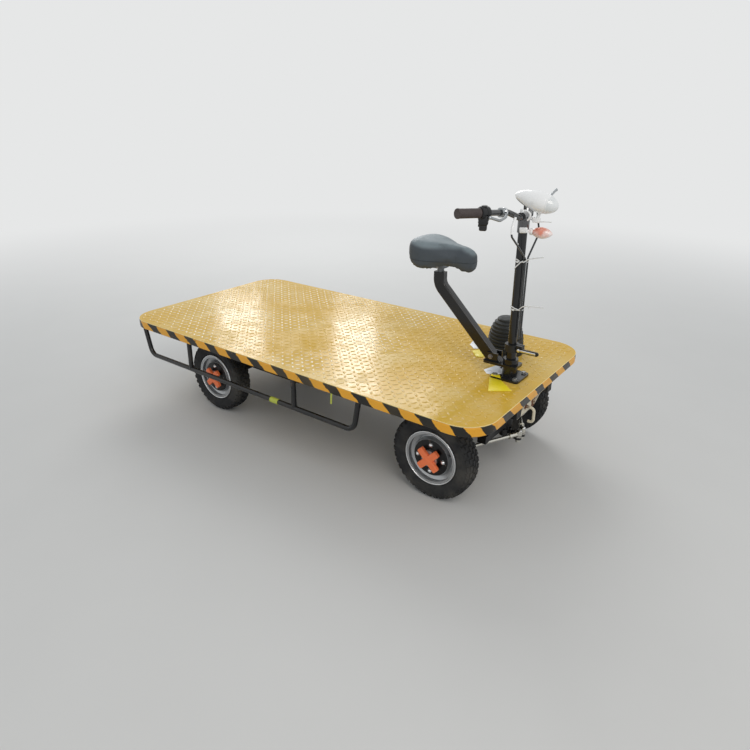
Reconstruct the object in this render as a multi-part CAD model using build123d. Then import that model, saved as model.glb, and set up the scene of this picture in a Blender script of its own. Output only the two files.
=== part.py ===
from build123d import *
import os
from math import atan2, cos, degrees, hypot, pi, radians, sin

# Electric platform cart with a tread plate deck, front wheel steering and a rider's saddle.
# Millimetres. +X is forward, +Y is the rider's left, +Z is up.
# The origin is on the floor under the middle of the deck.

os.makedirs("parts", exist_ok=True)

# Clearances
RUNNING_GAP = 0.05
PIVOT_GAP = 0.5
SEATED_GAP = 0.3

# Wheels
WHEEL_RADIUS = 176.0
WHEEL_TRACK = 678.0
TYRE_WIDTH = 82.0
TYRE_CROWN = 60.0
TYRE_SHOULDER = 9.0
TYRE_ROUNDING = 4.0
SIDEWALL_START = 2.0
RIM_RADIUS = 112.0
RIM_WIDTH = 72.0
RIM_SEAT_DEPTH = 10.5
RIM_WELL_DEPTH = 24.0
RIM_WELL_HALF = 12.0
RIM_WELL_SLOPE = 6.0
RIM_SKIN = 3.0
DISH_RADIUS = 76.0
DISH_FACE = 30.0
DISH_THICK = 5.0
DISH_ROOT = 6.0
NOSE_RADIUS = 34.0
NOSE_LENGTH = 14.0
NOSE_WALL = 3.0
HUB_RADIUS = 24.0
HUB_INNER_FACE = -38.0
SPINDLE_RADIUS = 12.5
SPINDLE_END_GAP = 1.0
CROSS_RADIUS = 54.0
CROSS_ARM = 30.0
CROSS_THICK = 14.0
CROSS_ROUNDING = 5.0
WHEEL_NUTS = 4
WHEEL_NUT_PITCH = 56.0
WHEEL_NUT_RADIUS = 8.5
WHEEL_NUT_HEIGHT = 10.0
WHEEL_NUT_DOME = 4.0

# Deck
DECK_LENGTH = 2000.0
DECK_WIDTH = 1000.0
DECK_CORNER = 130.0
TYRE_TO_RING = 29.0
PLATE_THICK = 3.0
PLATE_SETBACK = 2.0
RING_HEIGHT = 38.0
RING_WIDTH = 40.0
RING_EDGE = 6.0

# Places of the axles and of the steering column, from the ends of the deck
FRONT_AXLE_SETBACK = 261.0
REAR_AXLE_SETBACK = 493.0
COLUMN_SETBACK = 132.0

# Members under the deck
CROSS_WIDTH = 40.0
REAR_CROSS_SETBACK = 240.0
MIDDLE_CROSSES = (0.3026, 0.5915, 0.8563)  # as shares of the wheelbase, from the rear axle
RAIL_WIDTH = 40.0
RAIL_HEIGHT = 50.0
RAIL_END_GAP = 15.0

# Side guards: the top and foot of each end, from the end of the deck, and the posts
GUARD_TUBE = 22.0
GUARD_INSET = 15.0
GUARD_DROP = 133.0
GUARD_REAR_TOP = 114.0
GUARD_REAR_FOOT = 148.0
GUARD_FRONT_TOP = 522.0
GUARD_FRONT_FOOT = 545.0
GUARD_BEND = 45.0
GUARD_POSTS = (345.0, 1022.0)  # from the top of the guard's rear end

# Front axle and knuckles
KINGPIN_INSET = 89.0
KINGPIN_RADIUS = 9.0
KINGPIN_HEAD = 6.0
KNUCKLE_RADIUS = 18.0
KNUCKLE_HEIGHT = 60.0
KNUCKLE_TAPER = 2.0
LUG_THICK = 12.0
BEAM_WIDTH = 44.0
BEAM_HEIGHT = 44.0
BEAM_RAISE = 20.0
YOKE_DEPTH = 16.0
YOKE_CLEAR = 4.0

# Steering linkage
ARM_LENGTH = 70.0
BALL_OFFSET = 18.0
ARM_THICK = 10.0
ARM_WIDTH = 26.0
ROD_RAISE = 14.0
ROD_RADIUS = 7.0
ROD_END_RADIUS = 14.0
ROD_END_HEIGHT = 26.0
ROD_SLEEVE_RADIUS = 9.0
ROD_SLEEVE = 40.0
ROD_LOCK_NUT_RADIUS = 12.0
ROD_LOCK_NUT = 8.0
STUD_RADIUS = 6.0
STUD_NUT_RADIUS = 11.0
STUD_NUT_HEIGHT = 10.0
STUD_SINK = 2.0

# Steering head, its lower cross bar and the shaft
HEAD_RADIUS = 30.0
HEAD_RISE = 70.0
HEAD_DROP = 51.0
HEAD_FLANGE = 120.0
HEAD_FLANGE_THICK = 8.0
HEAD_FLANGE_CORNER = 14.0
BEARING_COLLAR = 8.0
CROSSBAR_HALF = 210.0
CROSSBAR_WIDTH = 36.0
CROSSBAR_HEIGHT = 32.0
CROSSBAR_RAISE = 34.0
CROSSBAR_BOSS = 10.0
CROSSBAR_BOSS_EDGE = 4.0
HANGER_THICK = 10.0
HANGER_WIDTH = 30.0
SHAFT_RADIUS = 20.0
SHAFT_RISE = 68.0
SHAFT_FOOT_DROP = 18.0
DROP_ARM_BOSS = 8.0
DROP_ARM_BOSS_RISE = 14.0

# Upper column and its clamp
COLUMN_TUBE = 17.0
COLUMN_SOCKET = 60.0
SOCKET_GAP = 0.2
CLAMP_DROP = 28.0
CLAMP_HEIGHT = 30.0
CLAMP_RADIUS = 28.0
CLAMP_EAR = 18.0
CLAMP_EAR_HALF = 14.0
CLAMP_SLOT_HALF = 2.0
CLAMP_BOLT_RADIUS = 5.0
CLAMP_BOLT_HALF = 22.0
LEVER_LENGTH = 72.0
LEVER_WIDTH = 16.0
LEVER_THICK = 7.0

# Seat post, its bracket and the saddle
POST_WIDTH = 34.0
POST_DEPTH = 48.0
POST_ROUNDING = 5.0
POST_FOOT_SETBACK = 70.0
POST_FOOT_DROP = 14.0
KNEE_RISE = 256.0
KNEE_BEND = 60.0
BRACKET_WIDTH = 70.0
BRACKET_THICK = 10.0
BRACKET_BACK = 36.0
BRACKET_FRONT = 8.0
BRACKET_CORNER = 10.0
CHEEK_THICK = 7.0
CHEEK_HEIGHT = 34.0
CHEEK_FRONT = 22.0
SADDLE_BEHIND_COLUMN = 340.0
SADDLE_RISE = 420.0
PILLAR_RADIUS = 14.0
PILLAR_SHOW = 42.0
SADDLE_CLAMP_HALF = (22.0, 26.0)
SADDLE_CLAMP_HEIGHT = 18.0
SADDLE_CLAMP_DROP = 26.0
SADDLE_RAIL_RADIUS = 4.0
SADDLE_RAIL_LENGTH = 160.0
SADDLE_RAIL_Y = 20.0
SADDLE_RAIL_DROP = 6.0
SADDLE_RAIL_RISE = 36.0
SADDLE_SECTIONS = (
    # along from the pillar, half width, low and high over the base, corner radius
    (-118.0, 58.0, 20.0, 72.0, 24.0),
    (-92.0, 92.0, -10.0, 87.0, 36.0),
    (-48.0, 104.0, -31.0, 88.0, 38.0),
    (20.0, 84.0, -8.0, 79.0, 34.0),
    (77.0, 50.0, -8.0, 72.0, 26.0),
    (120.0, 36.0, -23.0, 65.0, 24.0),
    (154.0, 26.0, -12.0, 44.0, 16.0),
)
SADDLE_SKIRT = 12.0
SADDLE_CEILING = 8.0
SADDLE_HOLLOW_CORNER = 8.0

# Handlebar
BAR_HEIGHT = 1058.0  # of its middle over the floor
BAR_RADIUS = 11.0
BAR_OVER_COLUMN = 18.0
BAR_RISE = 36.0
BAR_STRAIGHT = 40.0
BAR_KNEE = 95.0
BAR_KNEE_BACK = 22.0
BAR_SLOPE = 12.0
BAR_SWEEP = 110.0
BAR_HALF = 300.0
BAR_BEND = 26.0
STEM_RADIUS = 22.0
STEM_GRIP = 40.0
STEM_CAP = 4.0
STEM_CLAMP_HALF = 26.0
STEM_CLAMP_WALL = 7.0
STEM_NECK_HALF = (12.0, 18.0)

# Grips and controls on the bar
GRIP_LENGTH = 98.0
GRIP_RADIUS = 18.0
GRIP_END = 4.0
SWITCH_LENGTH = 37.0
SWITCH_RADIUS = 23.0
SWITCH_LAP = 2.0
SWITCH_BODY = (34.0, 34.0, 50.0)  # across the bar, over it, below it
SWITCH_FOOT = (27.0, 24.0, 82.0)  # along the bar, across it, below it
PERCH_BACK = 186.0
PERCH_LENGTH = 24.0
PERCH_RADIUS = 17.0
BRAKE_LEVER_RADIUS = 5.0
BRAKE_LEVER_BALL = 6.5
BRAKE_LEVER_BEND = 16.0
# From the perch's middle: forward, outward, upward
BRAKE_LEVER_RIGHT = ((17.0, 0.0, 0.0), (34.0, 12.0, -10.0), (40.0, 44.0, -22.0), (30.0, 80.0, -12.0))
BRAKE_LEVER_LEFT = ((17.0, 0.0, 0.0), (46.0, 22.0, 6.0), (78.0, 84.0, 26.0), (96.0, 136.0, 36.0))
CABLE_RADIUS = 3.5
CABLE_BEND = 16.0
CABLE_START = 16.0
CABLE_LEAD_RIGHT = (28.0, 6.0, 4.0)  # inward along the bar, ahead, down
CABLE_LEAD_LEFT = (40.0, 14.0, 6.0)
# Ahead of the column's face, out from the middle, below the bar's middle
CABLE_ROUTE_RIGHT = (
    (-16.0, 118.0, 18.0),
    (-14.0, 124.0, 53.0),
    (-4.0, 70.0, 103.0),
    (0.0, 12.0, 153.0),
    (0.0, 9.2, 330.0),
    (0.6, 9.0, 468.0),
)
CABLE_ROUTE_LEFT = ((22.0, 38.0, 60.0), (0.0, 9.0, 150.0), (0.0, 9.2, 330.0), (0.6, 9.0, 468.0))

# Lamps, ahead of the column's middle
LAMP_BACK = -43.0
LAMP_RISE = 84.0
LAMP_LENGTH = 168.0
LAMP_TILT = 13.5
LAMP_WIDEST = 93.0
LAMP_RADIUS = 38.0
LAMP_NOSE_POWER = 2.1
LAMP_TAIL_POWER = 1.4
LAMP_STEPS = 18
LAMP_ARM_RADIUS = 6.0
LAMP_ARM_END = (48.0, 8.0)
LAMP_BLOCK = (26.0, 20.0, 18.0)
LAMP_STALK_TOP = (62.0, 44.0)
AMBER_BACK = 25.0
AMBER_AHEAD = 110.0
AMBER_RADIUS = 21.0
AMBER_Y = 12.0
AMBER_DROP = 36.0
AMBER_ARM_RADIUS = 7.0

# Rear axle and drive motor
AXLE_TUBE = 27.0
BRAKE_PLATE_RADIUS = 66.0
BRAKE_PLATE_THICK = 12.0
BRAKE_HUB_RADIUS = 44.0
BRAKE_HUB_THICK = 14.0
DIFF_RADIUS = 88.0
DIFF_SHOULDER = 54.0
DIFF_HALF = 62.0
DIFF_BAND_HALF = 25.0
DIFF_NECK = 30.0
MOTOR_RADIUS = 78.0
MOTOR_NECK_RADIUS = 62.0
MOTOR_NECK = 18.0
MOTOR_RIBS = 9
MOTOR_RIB_PITCH = 16.0
MOTOR_RIB_DEPTH = 5.0
MOTOR_COVER = 24.0
MOTOR_COVER_EDGE = 10.0

# Springs and the arms that hold the axles
REAR_SPRING_INSET = 94.0
FRONT_SPRING_INSET = 137.0
SPRING_RADIUS = 27.0
SPRING_WIRE = 9.0
SPRING_TURNS = 7
SPRING_CUP = 5.0
SPRING_SEAT = 28.0
SEAT_THICK = 4.0
SPRING_TO_RAIL = 5.0
ARM_REACH = 330.0
ARM_DEPTH = 36.0
ARM_HANGER = 44.0

# Battery box, housing on the deck and tow bracket
BATTERY_GAP = 41.5
BATTERY_LENGTH = 560.0
BATTERY_HEIGHT = 175.0
BATTERY_CORNER = 8.0
BATTERY_SIDE_GAP = 1.0
HOUSING_BEHIND_COLUMN = 133.0
HOUSING_Y = 235.0
HOUSING_RADIUS = 78.0
HOUSING_HEIGHT = 168.0
HOUSING_FOOT = 8.0
HOUSING_RIBS = 11
HOUSING_RIB_DEPTH = 5.0
TOW_SETBACK = 48.0
TOW_HALF = 80.0
TOW_DROP = 96.0
TOW_THICK = 8.0
TOW_FLANGE = 40.0
TOW_GUSSET = 30.0
HOOK_RADIUS = 6.0
HOOK_TOP = 69.0
HOOK_DEPTH = 62.0
HOOK_REACH = 34.0
HOOK_TIP = 22.0
HOOK_BEND = 15.0

# Places worked out from the sizes above

AXLE_Z = WHEEL_RADIUS
WHEEL_Y = WHEEL_TRACK / 2
RING_LOW = 2 * WHEEL_RADIUS + TYRE_TO_RING
PLATE_LOW = RING_LOW + RING_HEIGHT
DECK_TOP = PLATE_LOW + PLATE_THICK
DECK_END = DECK_LENGTH / 2
INNER_HALF = DECK_WIDTH / 2 - RING_WIDTH
FRONT_AXLE_X = DECK_END - FRONT_AXLE_SETBACK
REAR_AXLE_X = REAR_AXLE_SETBACK - DECK_END
COLUMN_X = DECK_END - COLUMN_SETBACK
KINGPIN_Y = WHEEL_Y - KINGPIN_INSET
YOKE_FACE = KINGPIN_Y - KNUCKLE_RADIUS - YOKE_CLEAR
YOKE_REACH = KNUCKLE_HEIGHT / 2 + PIVOT_GAP
BEAM_Z = AXLE_Z + BEAM_RAISE
FRONT_SPRING_Y = WHEEL_Y - FRONT_SPRING_INSET
REAR_SPRING_Y = WHEEL_Y - REAR_SPRING_INSET
FRONT_SEAT_TOP = AXLE_Z + YOKE_REACH + LUG_THICK + SEAT_THICK
REAR_SEAT_TOP = AXLE_Z + AXLE_TUBE + SEAT_THICK
RAIL_Y = FRONT_SPRING_Y - SPRING_RADIUS - SPRING_TO_RAIL - RAIL_WIDTH / 2
RAIL_LOW = RING_LOW - RAIL_HEIGHT
GUARD_Y = DECK_WIDTH / 2 - GUARD_INSET
GUARD_RAIL_Z = RING_LOW - GUARD_DROP
RIM_SEAT = RIM_RADIUS - RIM_SEAT_DEPTH
RIM_WELL = RIM_RADIUS - RIM_WELL_DEPTH
WHEEL_SHOULDER = WHEEL_Y + HUB_INNER_FACE - SPINDLE_END_GAP
SPINDLE_TIP = WHEEL_Y + DISH_FACE + NOSE_LENGTH - NOSE_WALL - SPINDLE_END_GAP
ROD_Z = AXLE_Z + ROD_RAISE
ARM_TOP = ROD_Z - ROD_END_HEIGHT / 2
ARM_LOW = ARM_TOP - ARM_THICK
CROSSBAR_LOW = AXLE_Z + CROSSBAR_RAISE
HEAD_CROSS_REACH = HEAD_RADIUS + CROSS_WIDTH / 2
HEAD_TOP = DECK_TOP + HEAD_RISE
HEAD_BOTTOM = RING_LOW - HEAD_DROP
SHAFT_TOP = HEAD_TOP + SHAFT_RISE
CLAMP_Z = SHAFT_TOP - CLAMP_DROP
BAR_MID_Z = BAR_HEIGHT
COLUMN_TOP = BAR_MID_Z - BAR_OVER_COLUMN
BAR_END_Z = BAR_MID_Z + BAR_RISE
AMBER_Z = COLUMN_TOP - AMBER_DROP
POST_FOOT_X = COLUMN_X - POST_FOOT_SETBACK
POST_FOOT_Z = HEAD_TOP - POST_FOOT_DROP
SADDLE_X = COLUMN_X - SADDLE_BEHIND_COLUMN
SADDLE_BASE = DECK_TOP + SADDLE_RISE
POST_TOP = SADDLE_BASE - PILLAR_SHOW
MOTOR_END = DIFF_RADIUS + PIVOT_GAP + MOTOR_NECK + MOTOR_RIBS * MOTOR_RIB_PITCH + MOTOR_COVER
BATTERY_REAR = REAR_AXLE_X + MOTOR_END + BATTERY_GAP
TOW_X = DECK_END - TOW_SETBACK
HOUSING_X = COLUMN_X - HOUSING_BEHIND_COLUMN


def place(shape, x=0.0, y=0.0, z=0.0):
    return Pos(x, y, z) * shape


def tube_z(radius, low, high, x=0.0, y=0.0):
    upright = (Align.CENTER, Align.CENTER, Align.MIN)
    return place(Cylinder(radius, high - low, align=upright), x, y, low)


def block(x0, x1, y0, y1, z0, z1):
    low_y, high_y = sorted((y0, y1))
    box = Box(x1 - x0, high_y - low_y, z1 - z0)
    return place(box, (x0 + x1) / 2, (y0 + y1) / 2, (z0 + z1) / 2)


def rod_between(start, end, radius):
    """A round bar from one point to another."""
    run = Vector(*end) - Vector(*start)
    plane = Plane(origin=start, z_dir=run)
    return extrude(plane * Circle(radius), amount=run.length)


def swept(path, section):
    """A flat outline carried along a path, square to the path's start."""
    return sweep(Plane(origin=path @ 0, z_dir=path % 0) * section, path=path)


def turned(points):
    """A solid turned about the Y axis from (radius, along) points."""
    return revolve(make_face(Polyline(*points, close=True)), axis=Axis.Y)


def turned_upright(points):
    """A solid turned about the Z axis from (radius, height) points."""
    return revolve(make_face(Plane.XZ * Polyline(*points, close=True)), axis=Axis.Z)


def save(name, solids):
    parts = solids if isinstance(solids, list) else [solids]
    shape = parts[0] if len(parts) == 1 else Compound(children=parts)
    export_step(shape, f"parts/{name}.step")


# Deck

def deck_plate():
    """The tread plate, cut out where the head's flange and the housing stand on the frame."""
    outline = RectangleRounded(
        DECK_LENGTH - 2 * PLATE_SETBACK,
        DECK_WIDTH - 2 * PLATE_SETBACK,
        DECK_CORNER - PLATE_SETBACK,
    )
    flange = HEAD_FLANGE + 2 * PIVOT_GAP
    outline -= Pos(COLUMN_X, 0) * RectangleRounded(flange, flange, HEAD_FLANGE_CORNER + PIVOT_GAP)
    outline -= Pos(HOUSING_X, HOUSING_Y) * Circle(HOUSING_RADIUS + PIVOT_GAP)
    return place(extrude(outline, amount=PLATE_THICK), z=PLATE_LOW)


def ring_inside():
    return RectangleRounded(
        DECK_LENGTH - 2 * RING_WIDTH, DECK_WIDTH - 2 * RING_WIDTH, DECK_CORNER - RING_WIDTH
    )


def deck_ring():
    """The tube bent round the whole deck, with rounded outer edges."""
    ring = extrude(RectangleRounded(DECK_LENGTH, DECK_WIDTH, DECK_CORNER), amount=RING_HEIGHT)
    rims = ring.faces().sort_by(Axis.Z)
    ring = fillet(rims[0].edges() + rims[-1].edges(), RING_EDGE)
    ring -= extrude(ring_inside(), amount=RING_HEIGHT)
    return place(ring, z=RING_LOW)


def cross_members():
    """The bars across the ring, their ends cut to its inner outline."""
    wheelbase = FRONT_AXLE_X - REAR_AXLE_X
    places = [REAR_CROSS_SETBACK - DECK_END, REAR_AXLE_X, FRONT_AXLE_X]
    places += [REAR_AXLE_X + share * wheelbase for share in MIDDLE_CROSSES]
    places += [COLUMN_X - HEAD_CROSS_REACH, COLUMN_X + HEAD_CROSS_REACH]
    inside = place(extrude(ring_inside(), amount=RING_HEIGHT), z=RING_LOW)
    half = CROSS_WIDTH / 2
    bars = []
    for x in places:
        bars.append(block(x - half, x + half, -INNER_HALF, INNER_HALF, RING_LOW, PLATE_LOW) & inside)
    return bars


def chassis_rails():
    length = DECK_END - RAIL_END_GAP
    half = RAIL_WIDTH / 2
    rails = []
    for side in (-1, 1):
        y = side * RAIL_Y
        rails.append(block(-length, length, y - half, y + half, RAIL_LOW, RING_LOW))
    return rails


def side_guard(side):
    """The bent tube under one long edge, with its two middle posts."""
    y = side * GUARD_Y
    rear = GUARD_REAR_TOP - DECK_END
    points = [
        (rear, y, RING_LOW),
        (GUARD_REAR_FOOT - DECK_END, y, GUARD_RAIL_Z),
        (DECK_END - GUARD_FRONT_FOOT, y, GUARD_RAIL_Z),
        (DECK_END - GUARD_FRONT_TOP, y, RING_LOW),
    ]
    guard = swept(FilletPolyline(*points, radius=GUARD_BEND), Circle(GUARD_TUBE / 2))
    for along in GUARD_POSTS:
        guard += tube_z(GUARD_TUBE / 2, GUARD_RAIL_Z, RING_LOW, rear + along, y)
    ceiling = block(-DECK_LENGTH, DECK_LENGTH, -DECK_WIDTH, DECK_WIDTH, RING_LOW, DECK_TOP)
    return guard - ceiling


# Wheels, made at the origin with their outer face towards +Y

def tyre():
    half = TYRE_WIDTH / 2
    crown = TYRE_CROWN / 2
    seat = RIM_SEAT + SEATED_GAP
    bead = RIM_WIDTH / 2 - RIM_SKIN - SEATED_GAP
    low = RIM_RADIUS + SIDEWALL_START
    shoulder = WHEEL_RADIUS - TYRE_SHOULDER
    middle = (low + shoulder) / 2
    edge = WHEEL_RADIUS - TYRE_ROUNDING
    side = crown + TYRE_ROUNDING
    profile = [
        Line((seat, -bead), (seat, bead)),
        Line((seat, bead), (low, bead)),
        ThreePointArc((low, bead), (middle, half), (shoulder, side)),
        Line((shoulder, side), (edge, crown)),
        ThreePointArc((edge, crown), (WHEEL_RADIUS, 0), (edge, -crown)),
        Line((edge, -crown), (shoulder, -side)),
        ThreePointArc((shoulder, -side), (middle, -half), (low, -bead)),
        Line((low, -bead), (seat, -bead)),
    ]
    return revolve(make_face(profile), axis=Axis.Y)


def rim():
    """The pressed rim with its centre disc, hub tube and nose, one welded piece."""
    edge = RIM_WIDTH / 2
    lip = edge - RIM_SKIN
    slope = RIM_WELL_HALF + RIM_WELL_SLOPE
    barrel = turned([
        (RIM_RADIUS, edge), (RIM_RADIUS, lip), (RIM_SEAT, lip),
        (RIM_SEAT, slope), (RIM_WELL, RIM_WELL_HALF), (RIM_WELL, -RIM_WELL_HALF),
        (RIM_SEAT, -slope), (RIM_SEAT, -lip), (RIM_RADIUS, -lip), (RIM_RADIUS, -edge),
        (RIM_SEAT - RIM_SKIN, -edge), (RIM_SEAT - RIM_SKIN, -slope),
        (RIM_WELL - RIM_SKIN, -RIM_WELL_HALF), (RIM_WELL - RIM_SKIN, RIM_WELL_HALF),
        (RIM_SEAT - RIM_SKIN, slope), (RIM_SEAT - RIM_SKIN, edge),
    ])
    root = RIM_WELL - RIM_SKIN / 2
    back = DISH_FACE - DISH_THICK
    disc = turned([
        (0, DISH_FACE), (DISH_RADIUS, DISH_FACE), (root, DISH_ROOT),
        (root, 0), (DISH_RADIUS, back), (0, back),
    ])
    nose_face = DISH_FACE + NOSE_LENGTH
    middle = DISH_FACE - DISH_THICK / 2
    hub = turned([
        (0, nose_face), (NOSE_RADIUS, nose_face), (NOSE_RADIUS, middle),
        (HUB_RADIUS, middle), (HUB_RADIUS, HUB_INNER_FACE), (0, HUB_INNER_FACE),
    ])
    bore = SPINDLE_RADIUS + RUNNING_GAP
    bore_end = nose_face - NOSE_WALL
    mouth = 2 * HUB_INNER_FACE
    hollow = turned([(0, bore_end), (bore, bore_end), (bore, mouth), (0, mouth)])
    return barrel + disc + hub - hollow


def hub_cross():
    """The raised four-armed hub piece and the four wheel nuts between its arms."""
    bars = Rectangle(2 * CROSS_RADIUS, CROSS_ARM) + Rectangle(CROSS_ARM, 2 * CROSS_RADIUS)
    cross = extrude(fillet(bars.vertices(), CROSS_ROUNDING), amount=CROSS_THICK)
    outward = Rot(-90, 0, 0)
    pieces = [Pos(0, DISH_FACE + NOSE_LENGTH, 0) * outward * Rot(0, 0, 45) * cross]
    nut = tube_z(WHEEL_NUT_RADIUS, 0, WHEEL_NUT_HEIGHT)
    nut = outward * fillet(nut.edges().sort_by(Axis.Z)[-1], WHEEL_NUT_DOME)
    for turn in range(WHEEL_NUTS):
        angle = radians(360 * turn / WHEEL_NUTS)
        across = WHEEL_NUT_PITCH * cos(angle)
        up = WHEEL_NUT_PITCH * sin(angle)
        pieces.append(place(nut, across, DISH_FACE, up))
    return pieces


def at_wheel(shape, x, side):
    """Sets a wheel piece at its hub, its outer face to that side."""
    turn = 0 if side > 0 else 180
    return Pos(x, side * WHEEL_Y, AXLE_Z) * Rot(0, 0, turn) * shape


# Front axle and steering linkage

def front_axle():
    """The square beam with a yoke, kingpin and spring seat at each end."""
    inner = YOKE_FACE - YOKE_DEPTH
    half = BEAM_WIDTH / 2
    beam = block(
        FRONT_AXLE_X - half, FRONT_AXLE_X + half, -inner, inner,
        BEAM_Z - BEAM_HEIGHT / 2, BEAM_Z + BEAM_HEIGHT / 2,
    )
    back = FRONT_AXLE_X - KNUCKLE_RADIUS
    front = FRONT_AXLE_X + KNUCKLE_RADIUS
    low = AXLE_Z - YOKE_REACH - LUG_THICK
    high = AXLE_Z + YOKE_REACH + LUG_THICK
    for side in (-1, 1):
        y = side * KINGPIN_Y
        beam += block(back, front, side * inner, side * YOKE_FACE, low, high)
        for lug in (low, high - LUG_THICK):
            beam += block(back, front, side * inner, y, lug, lug + LUG_THICK)
            beam += tube_z(KNUCKLE_RADIUS, lug, lug + LUG_THICK, FRONT_AXLE_X, y)
        beam += tube_z(KINGPIN_RADIUS, low - KINGPIN_HEAD, high + KINGPIN_HEAD, FRONT_AXLE_X, y)
        spring_y = side * FRONT_SPRING_Y
        beam += block(
            FRONT_AXLE_X - SPRING_SEAT, FRONT_AXLE_X + SPRING_SEAT,
            spring_y - SPRING_SEAT, spring_y + SPRING_SEAT, BEAM_Z, FRONT_SEAT_TOP,
        )
    return beam


def steering_arm(x, y, side):
    """A flat arm from a pivot to the eye that takes a ball stud."""
    run = hypot(ARM_LENGTH, BALL_OFFSET)
    turn = degrees(atan2(side * BALL_OFFSET, ARM_LENGTH))
    bar = block(0, run, -ARM_WIDTH / 2, ARM_WIDTH / 2, ARM_LOW, ARM_TOP)
    arm = Pos(x, y, 0) * Rot(0, 0, turn) * bar
    return arm + tube_z(ROD_END_RADIUS, ARM_LOW, ARM_TOP, x + ARM_LENGTH, y + side * BALL_OFFSET)


def eye_hole(x, y, side):
    radius = STUD_RADIUS + PIVOT_GAP
    return tube_z(radius, 0, ROD_Z, x + ARM_LENGTH, y + side * BALL_OFFSET)


def knuckle(side):
    """The sleeve on the kingpin, the wheel spindle and the steering arm."""
    y = side * KINGPIN_Y
    half = KNUCKLE_HEIGHT / 2
    pivot = (FRONT_AXLE_X, y, AXLE_Z)
    body = tube_z(KNUCKLE_RADIUS, AXLE_Z - half, AXLE_Z + half, FRONT_AXLE_X, y)
    root = (FRONT_AXLE_X, side * WHEEL_SHOULDER, AXLE_Z)
    body += rod_between(pivot, root, KNUCKLE_RADIUS - KNUCKLE_TAPER)
    body += rod_between(pivot, (FRONT_AXLE_X, side * SPINDLE_TIP, AXLE_Z), SPINDLE_RADIUS)
    body += steering_arm(FRONT_AXLE_X, y, side)
    body -= eye_hole(FRONT_AXLE_X, y, side)
    return body - tube_z(KINGPIN_RADIUS + RUNNING_GAP, 0, 2 * AXLE_Z, FRONT_AXLE_X, y)


def tie_rod(side):
    """The plated rod from a knuckle arm to the drop arm, with a ball joint at each end."""
    outer = Vector(FRONT_AXLE_X + ARM_LENGTH, side * (KINGPIN_Y + BALL_OFFSET), ROD_Z)
    inner = Vector(COLUMN_X + ARM_LENGTH, side * BALL_OFFSET, ROD_Z)
    rod = rod_between(outer, inner, ROD_RADIUS)
    nut_low = ARM_LOW - PIVOT_GAP - STUD_NUT_HEIGHT
    for ball, other in ((outer, inner), (inner, outer)):
        along = (other - ball).normalized()
        sleeve_end = ball + along * ROD_SLEEVE
        rod += rod_between(ball, sleeve_end, ROD_SLEEVE_RADIUS)
        rod += rod_between(sleeve_end, sleeve_end + along * ROD_LOCK_NUT, ROD_LOCK_NUT_RADIUS)
        housing_low = ARM_TOP + PIVOT_GAP
        rod += tube_z(ROD_END_RADIUS, housing_low, ROD_Z + ROD_END_HEIGHT / 2, ball.X, ball.Y)
        rod += tube_z(STUD_RADIUS, nut_low, housing_low + STUD_SINK, ball.X, ball.Y)
        rod += tube_z(STUD_NUT_RADIUS, nut_low, nut_low + STUD_NUT_HEIGHT, ball.X, ball.Y)
    return rod


# Rear axle, drive and suspension

def rear_axle():
    """The axle tube with its differential housing, brake plates and wheel stubs."""
    shoulder = WHEEL_SHOULDER
    plate = shoulder - BRAKE_PLATE_THICK
    hub = plate - BRAKE_HUB_THICK
    half = [
        (DIFF_RADIUS, DIFF_BAND_HALF), (DIFF_SHOULDER, DIFF_HALF),
        (AXLE_TUBE, DIFF_HALF + DIFF_NECK), (AXLE_TUBE, hub),
        (BRAKE_HUB_RADIUS, hub), (BRAKE_HUB_RADIUS, plate),
        (BRAKE_PLATE_RADIUS, plate), (BRAKE_PLATE_RADIUS, shoulder),
        (SPINDLE_RADIUS, shoulder), (SPINDLE_RADIUS, SPINDLE_TIP), (0, SPINDLE_TIP),
    ]
    mirrored = [(radius, -along) for radius, along in reversed(half)]
    axle = place(turned(mirrored + half), REAR_AXLE_X, 0, AXLE_Z)
    for side in (-1, 1):
        y = side * REAR_SPRING_Y
        axle += block(
            REAR_AXLE_X - SPRING_SEAT, REAR_AXLE_X + SPRING_SEAT,
            y - SPRING_SEAT, y + SPRING_SEAT, AXLE_Z, REAR_SEAT_TOP,
        )
    return axle


def drive_motor():
    """The motor bolted to the front of the differential, with its ribbed body and end cover."""
    start = DIFF_RADIUS + PIVOT_GAP
    along = start + MOTOR_NECK
    groove = MOTOR_RADIUS - MOTOR_RIB_DEPTH
    rib = MOTOR_RIB_PITCH / 2
    profile = [(0, start), (MOTOR_NECK_RADIUS, start), (MOTOR_NECK_RADIUS, along)]
    for _ in range(MOTOR_RIBS):
        profile += [(MOTOR_RADIUS, along), (MOTOR_RADIUS, along + rib)]
        profile += [(groove, along + rib), (groove, along + MOTOR_RIB_PITCH)]
        along += MOTOR_RIB_PITCH
    end = along + MOTOR_COVER
    profile += [(MOTOR_RADIUS, along), (MOTOR_RADIUS, end - MOTOR_COVER_EDGE)]
    profile += [(MOTOR_RADIUS - MOTOR_COVER_EDGE, end), (0, end)]
    return Pos(REAR_AXLE_X, 0, AXLE_Z) * Rot(0, 0, -90) * turned(profile)


def coil_spring(x, y, low):
    """A closed spring of the coil's outer shape, its turns as ridges round the damper."""
    pitch = (RING_LOW - low - 2 * SPRING_CUP) / SPRING_TURNS
    groove = SPRING_RADIUS - SPRING_WIRE
    points = [(0, low), (SPRING_RADIUS, low)]
    z = low + SPRING_CUP
    for _ in range(SPRING_TURNS):
        points += [(SPRING_RADIUS, z), (groove, z + pitch / 4), (groove, z + pitch / 2)]
        z += pitch
    points += [(SPRING_RADIUS, z), (SPRING_RADIUS, RING_LOW), (0, RING_LOW)]
    return place(turned_upright(points), x, y)


def springs(axle_x, offset, low):
    return [coil_spring(axle_x, side * offset, low) for side in (-1, 1)]


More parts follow.
